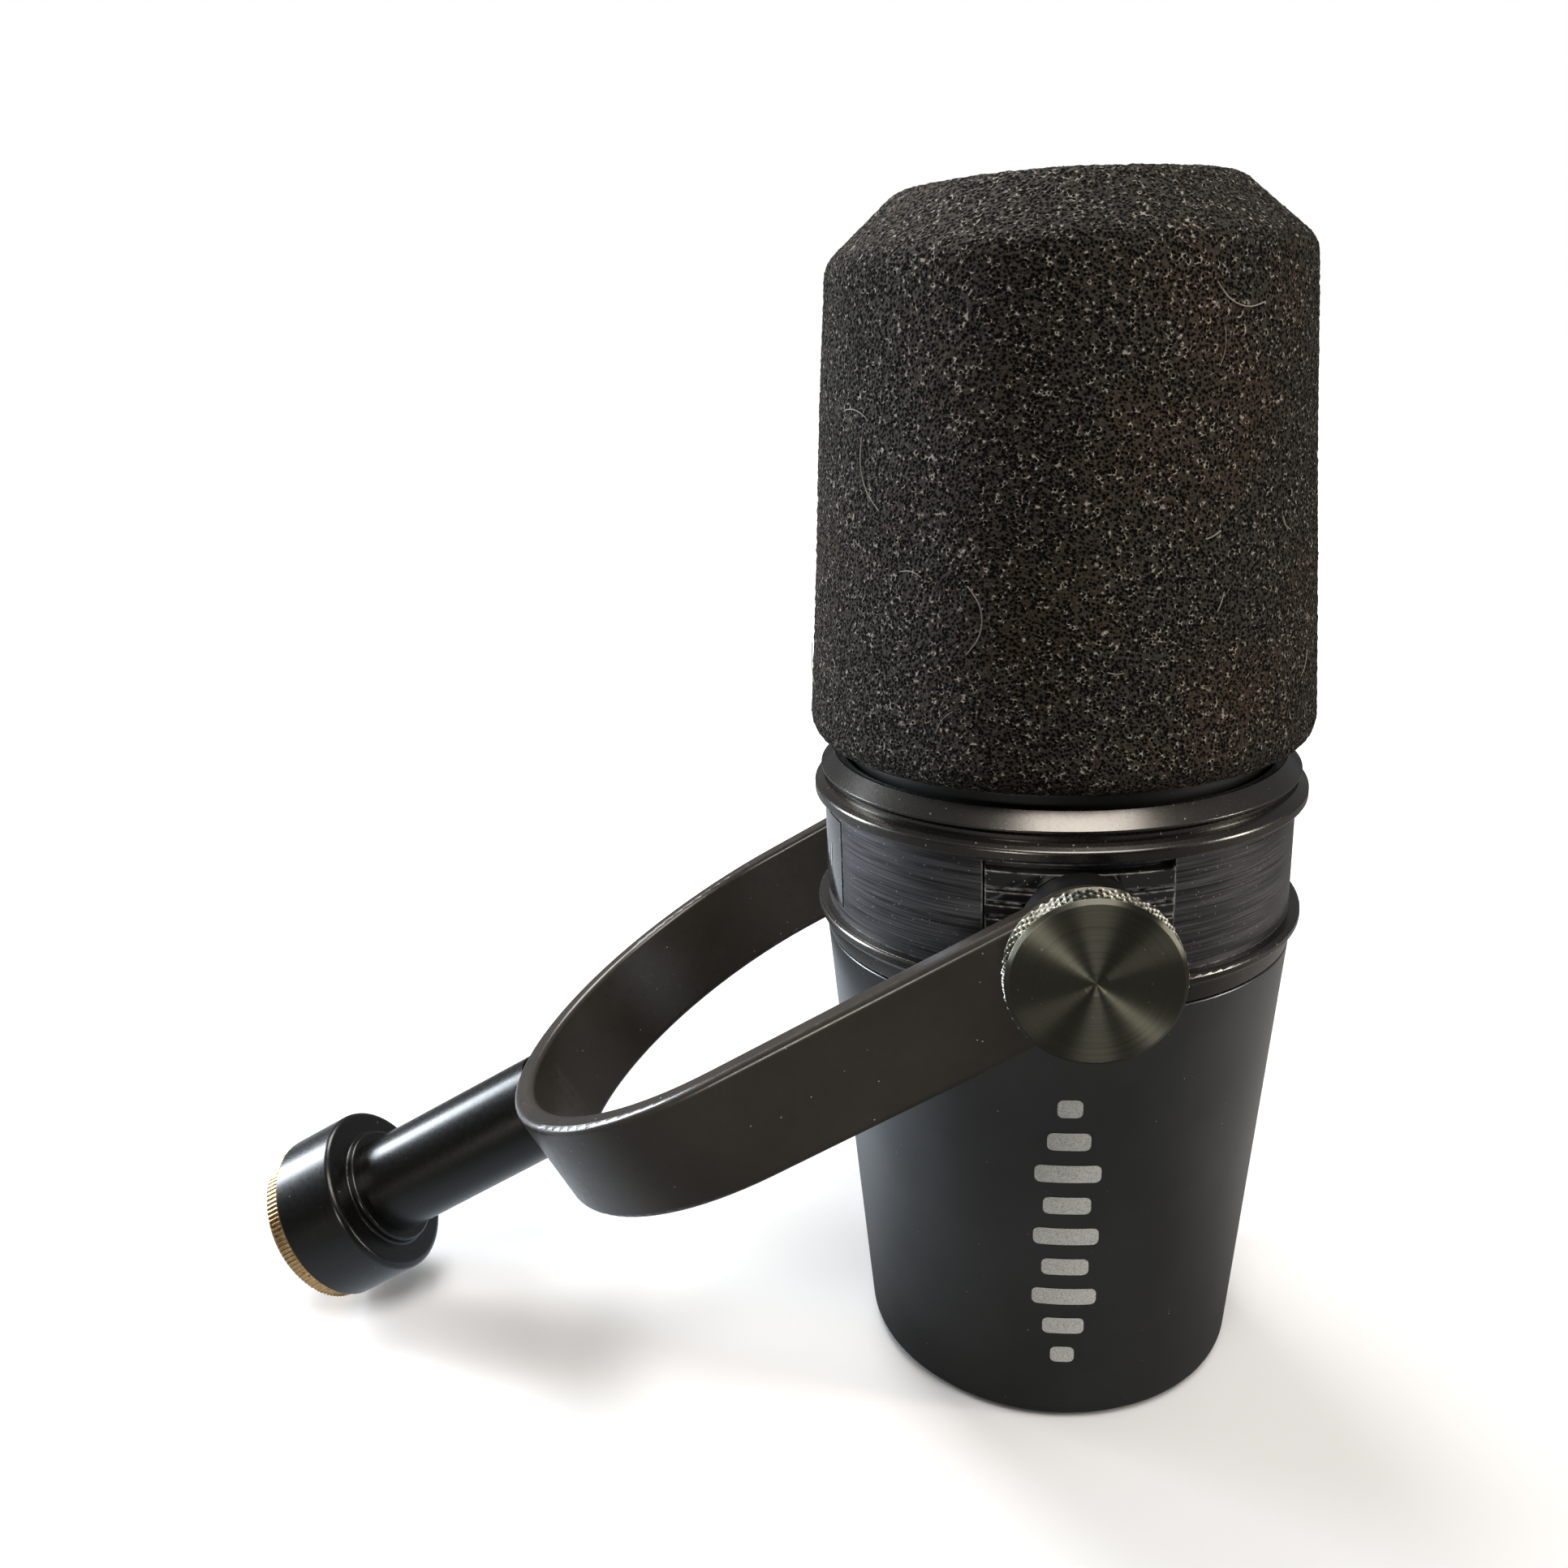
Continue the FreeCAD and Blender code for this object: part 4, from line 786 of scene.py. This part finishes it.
def makeWireTree():
    # the start mesh's faces become six-sided openings between thin wires
    tree, given, out = newGeometryTree("wireGrille", {"Wire": 0.00016, "Material": None})
    split = addNode(tree, "GeometryNodeTriangulate", {"Mesh": given["Geometry"]})
    cells = addNode(tree, "GeometryNodeDualMesh", {"Mesh": split.outputs[0], "Keep Boundaries": True})
    lines = addNode(tree, "GeometryNodeMeshToCurve", {"Mesh": cells.outputs[0]})
    ring = addNode(tree, "GeometryNodeCurvePrimitiveCircle", {"Resolution": 4, "Radius": given["Wire"]})
    wires = addNode(tree, "GeometryNodeCurveToMesh", {
        "Curve": lines.outputs[0], "Profile Curve": ring.outputs[0]})
    finishTree(tree, out, wires.outputs[0], given["Material"])
    return tree


def makeThreadTree():
    # a ridge that climbs round the inside of a bore
    tree, given, out = newGeometryTree("thread", {
        "Turns": 10.0, "Radius": 0.0075, "Length": 0.0094, "Ridge": 0.0004, "Material": None})
    helix = addNode(tree, "GeometryNodeCurveSpiral", {
        "Resolution": 48, "Rotations": given["Turns"], "Start Radius": given["Radius"],
        "End Radius": given["Radius"], "Height": given["Length"]})
    ring = addNode(tree, "GeometryNodeCurvePrimitiveCircle", {"Resolution": 4, "Radius": given["Ridge"]})
    ridge = addNode(tree, "GeometryNodeCurveToMesh", {
        "Curve": helix.outputs[0], "Profile Curve": ring.outputs[0]})
    finishTree(tree, out, ridge.outputs[0], given["Material"])
    return tree


knurlTree = makeKnurlTree()
ridgeTree = makeRidgeTree()
wireTree = makeWireTree()
threadTree = makeThreadTree()
print("geometry trees ready")


grilleShape = dict(cornerRound=0.009, across=84, fewest=8, fullFrom=0.75, step=0.00175, wire=0.00017,
                   inset=0.0001, eye=0.0006)


def makeGrille():
    # rows of points, joined by triangles, whose openings the wire tree then draws
    low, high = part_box("grille_mesh")
    shape = grilleShape
    radius = high.x - shape["wire"] - shape["inset"]
    top = high.z - shape["wire"] - shape["inset"]
    outline = roundedOutline([(radius, low.z), (radius, top, shape["cornerRound"]), (shape["eye"], top)], 8)
    vertices, faces, rows = [], [], []
    for number, point in enumerate(evenSteps(outline, shape["step"])):
        columns = max(shape["fewest"], round(shape["across"] * point[0] / radius))
        columns = shape["across"] if point[0] > radius * shape["fullFrom"] else columns
        rows.append((len(vertices), columns))
        for k in range(columns):
            angle = 2 * math.pi * (k + 0.5 * (number % 2)) / columns
            vertices.append((point[0] * math.cos(angle), point[0] * math.sin(angle), point[1]))
    for number, ((start, count), (nextStart, nextCount)) in enumerate(zip(rows, rows[1:])):
        here = ahead = 0
        offset, nextOffset = 0.5 * (number % 2), 0.5 * ((number + 1) % 2)
        while here < count or ahead < nextCount:
            turn = (here + 0.5 + offset) / count
            nextTurn = (ahead + 0.5 + nextOffset) / nextCount
            a, b = start + here % count, nextStart + ahead % nextCount
            if ahead >= nextCount or (here < count and turn <= nextTurn):
                faces.append((a, start + (here + 1) % count, b))
                here += 1
            else:
                faces.append((a, nextStart + (ahead + 1) % nextCount, b))
                ahead += 1
    start = bpy.data.meshes.new("grilleStart")
    start.from_pydata(vertices, [], faces)
    mesh = grow("grille_wires", wireTree, {
        "Wire": shape["wire"], "Material": materials["grille_steel"]}, start)
    piece = addObject("grille_wires", mesh)
    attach(piece, "microphone")
    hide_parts("grille_mesh")
    print("grille:", len(mesh.polygons), "faces")


makeGrille()


knobShape = dict(head=0.004, hubRadius=0.0064, hubRound=0.0002, boreRadius=0.0025, boreEnd=0.0016,
                 rimInset=0.0001, rimRound=0.0001, backBevel=0.0004, backRim=0.0006, frontBevel=0.0005,
                 frontRim=0.0007, faceInset=0.0006, faceRound=0.00012, dimple=0.0013, dimpleDepth=0.00035,
                 knurlDepth=0.00038, around=46, rows=4, tall=0.00122, tip=0.22, sunk=0.00002,
                 overlap=0.00005, columns=160, spacing=0.0016, sharpAngle=28)


def makeKnob(side, sideName):
    shape = knobShape
    low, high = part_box("thumb_knob_" + sideName)
    hubFace = min(abs(low.y), abs(high.y))
    back = knobFace - shape["head"]
    drum = knobRadius - shape["knurlDepth"]
    rim = knobRadius - shape["rimInset"]
    line = roundedOutline([
        (shape["boreRadius"], hubFace), (shape["hubRadius"], hubFace, shape["hubRound"]),
        (shape["hubRadius"], back), (drum - shape["hubRound"], back),
        (rim, back + shape["backBevel"], shape["rimRound"]), (drum, back + shape["backRim"]),
        (drum, knobFace - shape["frontRim"]), (rim, knobFace - shape["frontBevel"], shape["rimRound"]),
        (knobRadius - shape["faceInset"], knobFace, shape["faceRound"]),
        (shape["dimple"], knobFace, shape["hubRound"]), (0, knobFace - shape["dimpleDepth"]),
        (0, knobFace - shape["boreEnd"]), (shape["boreRadius"], knobFace - shape["boreEnd"]),
    ], 4)
    body = turnedBody("knobBody", evenSteps(line, shape["spacing"]), shape["columns"], shape["sharpAngle"],
                      "knob_metal")
    knurl = grow("knurlPart", knurlTree, {
        "Round": shape["around"], "Rows": shape["rows"], "Radius": drum - shape["sunk"],
        "Tall": shape["tall"], "Low": back + shape["backRim"] - shape["overlap"],
        "Depth": shape["knurlDepth"], "Tip": shape["tip"], "Material": materials["knob_metal"]})
    place = Matrix.Translation((0, 0, pivotHeight)) @ Matrix.Rotation(-side * math.pi / 2, 4, "X")
    for mesh in (body, knurl):
        mesh.transform(place)
    knob = joinMeshes("knob_" + sideName, [body, knurl])
    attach(knob, "knob_" + sideName)
    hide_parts("thumb_knob_" + sideName)


for side, sideName in ((-1, "left"), (1, "right")):
    makeKnob(side, sideName)
print("knobs ready")


insertShape = dict(reach=0.1266, flange=0.0030, flangeRadius=0.0119, barrelRadius=0.0099, foot=0.1154,
                   boreRadius=0.00745, ridges=110, pitch=0.00094, rimInset=0.00018, rimRound=0.0004,
                   footRound=0.0002, bevel=0.0008, faceRound=0.0003, boreGap=0.0004, mouthGap=0.0009,
                   columns=128, spacing=0.002, sharpAngle=30, sunk=0.00002, ridgeShort=0.0010,
                   ridgeWidth=0.0004, ridgeDepth=0.00012, endGap=0.0002, threadShort=0.0012,
                   threadGap=0.0005, threadRidge=0.00042)


def yokePlace():
    # local Z runs from the pivot to the stand end, along the stand thread's own axis
    axis = next(mount["axis"] for mount in frame["record"]["mounts"] if mount["name"] == "stand_thread")
    drop = math.asin(-axis[2])
    return Matrix.Translation((0, 0, pivotHeight)) @ Matrix.Rotation(-(math.pi / 2 + drop), 4, "Y")


def makeInsert():
    # a barrel with a ridged flange, and a thread in its bore
    shape = insertShape
    reach, barrel, bevel = shape["reach"], shape["barrelRadius"], shape["bevel"]
    rim = shape["flangeRadius"] - shape["rimInset"]
    bore = shape["boreRadius"] + shape["boreGap"]
    flangeFoot = reach - shape["flange"]
    line = roundedOutline([
        (bore, shape["foot"]), (barrel, shape["foot"]), (barrel, flangeFoot),
        (rim, flangeFoot, shape["footRound"]), (rim, reach - bevel, shape["rimRound"]),
        (rim - bevel, reach, shape["faceRound"]),
        (shape["boreRadius"] + shape["mouthGap"], reach, shape["footRound"]), (bore, reach - bevel),
    ], 4)
    body = turnedBody("insertBody", evenSteps(line, shape["spacing"]), shape["columns"], shape["sharpAngle"],
                      "brass")
    ridges = grow("insertRidges", ridgeTree, {
        "Count": shape["ridges"], "Radius": rim - shape["sunk"],
        "Length": shape["flange"] - shape["ridgeShort"], "Width": shape["ridgeWidth"],
        "Depth": shape["ridgeDepth"], "Low": flangeFoot + shape["endGap"], "Material": materials["brass"]})
    length = reach - shape["foot"] - shape["threadShort"]
    thread = grow("insertThread", threadTree, {
        "Turns": length / shape["pitch"], "Radius": shape["boreRadius"] + shape["threadGap"],
        "Length": length, "Ridge": shape["threadRidge"], "Material": materials["brass"]})
    thread.transform(Matrix.Translation((0, 0, shape["foot"] + shape["endGap"])))
    for mesh in (body, ridges, thread):
        mesh.transform(yokePlace())
    piece = joinMeshes("stand_thread_insert", [body, ridges, thread])
    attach(piece, "yoke")
    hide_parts("thread_insert")


makeInsert()
print("insert ready")


def turnOutwards(piece):
    # each face of a thin print looks away from the microphone's axis
    mesh = piece.data
    for polygon in mesh.polygons:
        if polygon.normal.dot(Vector((polygon.center.x, polygon.center.y, 0))) < 0:
            polygon.flip()
    mesh.update()


shellFoot, shellFlare = 0.0251, 0.0051


def shellRadius(height, top):
    # the shell's taper, from its foot to its top
    return shellFoot + shellFlare * height / top


markShape = dict(azimuth=-1.585, low=0.0112, pitch=0.0047, thick=0.0025, lift=0.00005, cornerShare=0.3,
                 steps=24,
                 widths=(0.0030, 0.0052, 0.0080, 0.0058, 0.0080, 0.0058, 0.0080, 0.0052, 0.0030))


def makeMark():
    # a column of plain rounded level bars down the shell
    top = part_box("rear_shell")[1].z
    shape = markShape
    corner, half, steps = shape["thick"] * shape["cornerShare"], shape["thick"] / 2, shape["steps"]
    vertices, faces = [], []
    for bar, width in enumerate(shape["widths"]):
        middle = shape["low"] + shape["pitch"] * bar
        start = len(vertices)
        for k in range(steps + 1):
            x = -width / 2 + width * (0.5 - 0.5 * math.cos(math.pi * k / steps))
            short = max(0, corner - (width / 2 - abs(x)))
            reach = half + math.sqrt(max(0, corner ** 2 - short ** 2)) - corner
            for z in (middle - reach, middle + reach):
                radius = shellRadius(z, top) + shape["lift"]
                turn = shape["azimuth"] + x / radius
                vertices.append((radius * math.cos(turn), radius * math.sin(turn), z))
        for k in range(steps):
            first = start + 2 * k
            faces.append((first, first + 2, first + 3, first + 1))
    piece = newPiece("shell_mark", vertices, faces, "printed_ink", smooth=False)
    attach(piece, "microphone")


touchShape = dict(ringPlace=-0.0072, barPlace=0.0068, ringRadius=0.0017, ringSteps=48, line=0.00032,
                  lift=0.00016, pitch=0.0011, bars=(0.0012, 0.0022, 0.0032))


def makeTouchMarks():
    # a plain ring with a stroke through it, and three rising bars, printed on the touch strip
    low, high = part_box("touch_strip")
    shape = touchShape
    middle = (low.z + high.z) / 2
    radius = bandRadius + shape["lift"]
    vertices, faces = [], []

    def addStrip(line):
        start = len(vertices)
        for pair in line:
            for across, up in pair:
                turn = math.pi + across / radius
                vertices.append((radius * math.cos(turn), radius * math.sin(turn), middle + up))
        for k in range(len(line) - 1):
            first = start + 2 * k
            faces.append((first, first + 1, first + 3, first + 2))

    inner, outer = shape["ringRadius"] - shape["line"], shape["ringRadius"]
    ring = []
    for k in range(shape["ringSteps"] + 1):
        angle = 2 * math.pi * k / shape["ringSteps"]
        ring.append([(shape["ringPlace"] + r * math.cos(angle), r * math.sin(angle)) for r in (inner, outer)])
    addStrip(ring)
    half = shape["line"] / 2
    stroke = inner * math.cos(math.pi / 4)
    addStrip([[(shape["ringPlace"] + t - half, t + half), (shape["ringPlace"] + t + half, t - half)]
              for t in (-stroke, stroke)])
    for bar, tall in enumerate(shape["bars"]):
        place = shape["barPlace"] + shape["pitch"] * (bar - 1)
        addStrip([[(place - half, up), (place + half, up)] for up in (-tall / 2, tall / 2)])
    piece = newPiece("touch_marks", vertices, faces, "printed_ink", smooth=False)
    turnOutwards(piece)
    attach(piece, "microphone")


makeMark()
makeTouchMarks()
print("printed marks ready")


studio = dict(floorSize=6.0, floorDrop=0.00005, floorGlow=0.0, glowFrom=0.05, glowFull=0.45,
              coolGlow=0.78, coolLight=(0.80, 0.90, 1.0), warmGlow=0.24, warmLight=(1.0, 0.94, 0.86),
              sideFrom=0.025, sideFull=0.060, unseenFloor=(0.10, 0.10, 0.10), lens=31.827, sensor=36.0,
              eye=(-0.018273, -0.175633, 0.136486), yaw=-0.0982, pitch=0.3081, roll=-0.0436,
              nearest=0.005, farthest=50)


def makeFloor():
    # white to the camera and darker in the shadow, it throws cool light on one side and warm on the other
    material, tree, shader = newMaterial(
        "floor_paper", rough=0.95, Specular_IOR_Level=0.0, Emission_Strength=1.0)
    grain = useGroup(tree, "grain", Scale=400.0, Tone_Scale=4.0)
    seen = tree.nodes.new("ShaderNodeLightPath").outputs["Is Camera Ray"]
    white = mixColour(tree, grain["Tone"], (0.80, 0.80, 0.81), (0.83, 0.83, 0.84))
    tree.links.new(mixColour(tree, seen, studio["unseenFloor"], white), shader.inputs["Base Color"])
    place = tree.nodes.new("ShaderNodeTexCoord").outputs["Object"]
    away = vectorNode(tree, "LENGTH", place).outputs["Value"]
    glow = mapRange(tree, away, studio["glowFrom"], studio["glowFull"], studio["floorGlow"], 1.0)
    spot = addNode(tree, "ShaderNodeSeparateXYZ", {0: place}).outputs
    near = mathNode(tree, "MULTIPLY", mapRange(tree, away, 0.30, 0.16), mapRange(tree, spot[1], -0.055, 0.01))
    thrown = (0, 0, 0)
    for side, kind in ((-1, "cool"), (1, "warm")):
        strength = mapRange(tree, spot[0], side * studio["sideFrom"], side * studio["sideFull"],
                            0.0, studio[kind + "Glow"])
        strength = mathNode(tree, "MULTIPLY", near, strength)
        thrown = mixColour(tree, strength, thrown, studio[kind + "Light"])
    shown = mixColour(tree, glow, (0, 0, 0), (1, 1, 1))
    tree.links.new(mixColour(tree, seen, thrown, shown), shader.inputs["Emission Color"])
    materials["floor_paper"] = material
    half, height = studio["floorSize"], -studio["floorDrop"]
    corners = [(-half, -half, height), (half, -half, height), (half, half, height), (-half, half, height)]
    newPiece("floor", corners, [(0, 1, 2, 3)], "floor_paper", smooth=False)


makeFloor()

lights = [  # name, place, aim, width, height, watts, colour
    ("topSoft", (0.10, -0.38, 0.86), (0, 0, 0.08), 0.60, 0.42, 6.4, (1.0, 0.96, 0.90)),
    ("topBack", (-0.25, 0.45, 0.85), (0, 0, 0.08), 0.40, 0.40, 6.4, (1.0, 0.98, 0.95)),
    ("windowLeft", (-0.66, 0.20, 0.18), (0, 0, 0.03), 0.20, 0.40, 6.5, (0.84, 0.92, 1.0)),
    ("warmRight", (0.80, -0.16, 0.20), (0, 0, 0.05), 0.12, 0.40, 4.2, (1.0, 0.94, 0.86)),
    ("knobLeft", (-0.36, -0.86, 0.13), (0, 0, 0.07), 0.10, 0.16, 1.8, (1.0, 0.95, 0.86)),
]


def makeLights():
    for name, place, aim, width, height, watts, colour in lights:
        data = bpy.data.lights.new(name, "AREA")
        data.shape = "RECTANGLE"
        data.size = width
        data.size_y = height
        data.energy = watts
        data.color = colour
        lamp = addObject(name, data)
        lamp.location = place
        lamp.rotation_euler = (Vector(aim) - Vector(place)).to_track_quat("-Z", "Y").to_euler()
    world = bpy.data.worlds.new("studio")
    world.use_nodes = True
    tree = world.node_tree
    background = tree.nodes["Background"]
    seen = tree.nodes.new("ShaderNodeLightPath").outputs["Is Camera Ray"]
    place = tree.nodes.new("ShaderNodeTexCoord").outputs["Generated"]
    way = addNode(tree, "ShaderNodeSeparateXYZ", {0: place}).outputs
    sides = mixColour(tree, mapRange(tree, way[1], -0.7, 0.4), (0.012, 0.012, 0.012), (0.20, 0.205, 0.21))
    room = mixColour(tree, mapRange(tree, way[2], 0.1, 0.9), sides, (0.20, 0.197, 0.19))
    tree.links.new(mixColour(tree, seen, room, (1.0, 1.0, 1.0)), background.inputs["Color"])
    background.inputs["Strength"].default_value = 1.0
    bpy.context.scene.world = world
    bpy.context.scene.view_settings.view_transform = "Standard"


makeLights()


def makeCamera():
    yaw, pitch, roll = studio["yaw"], studio["pitch"], studio["roll"]
    ahead = Vector((math.sin(yaw) * math.cos(pitch), math.cos(yaw) * math.cos(pitch), -math.sin(pitch)))
    level = Vector((math.cos(yaw), -math.sin(yaw), 0))
    up = level.cross(ahead)
    right = level * math.cos(roll) + up * math.sin(roll)
    top = right.cross(ahead)
    data = bpy.data.cameras.new("sceneCamera")
    data.lens, data.sensor_width = studio["lens"], studio["sensor"]
    data.clip_start = studio["nearest"]
    data.clip_end = studio["farthest"]
    camera = addObject("sceneCamera", data)
    turn = Matrix((right, top, -ahead)).transposed()
    camera.matrix_world = Matrix.Translation(studio["eye"]) @ turn.to_4x4()
    bpy.context.scene.camera = camera


makeCamera()
print("studio ready")
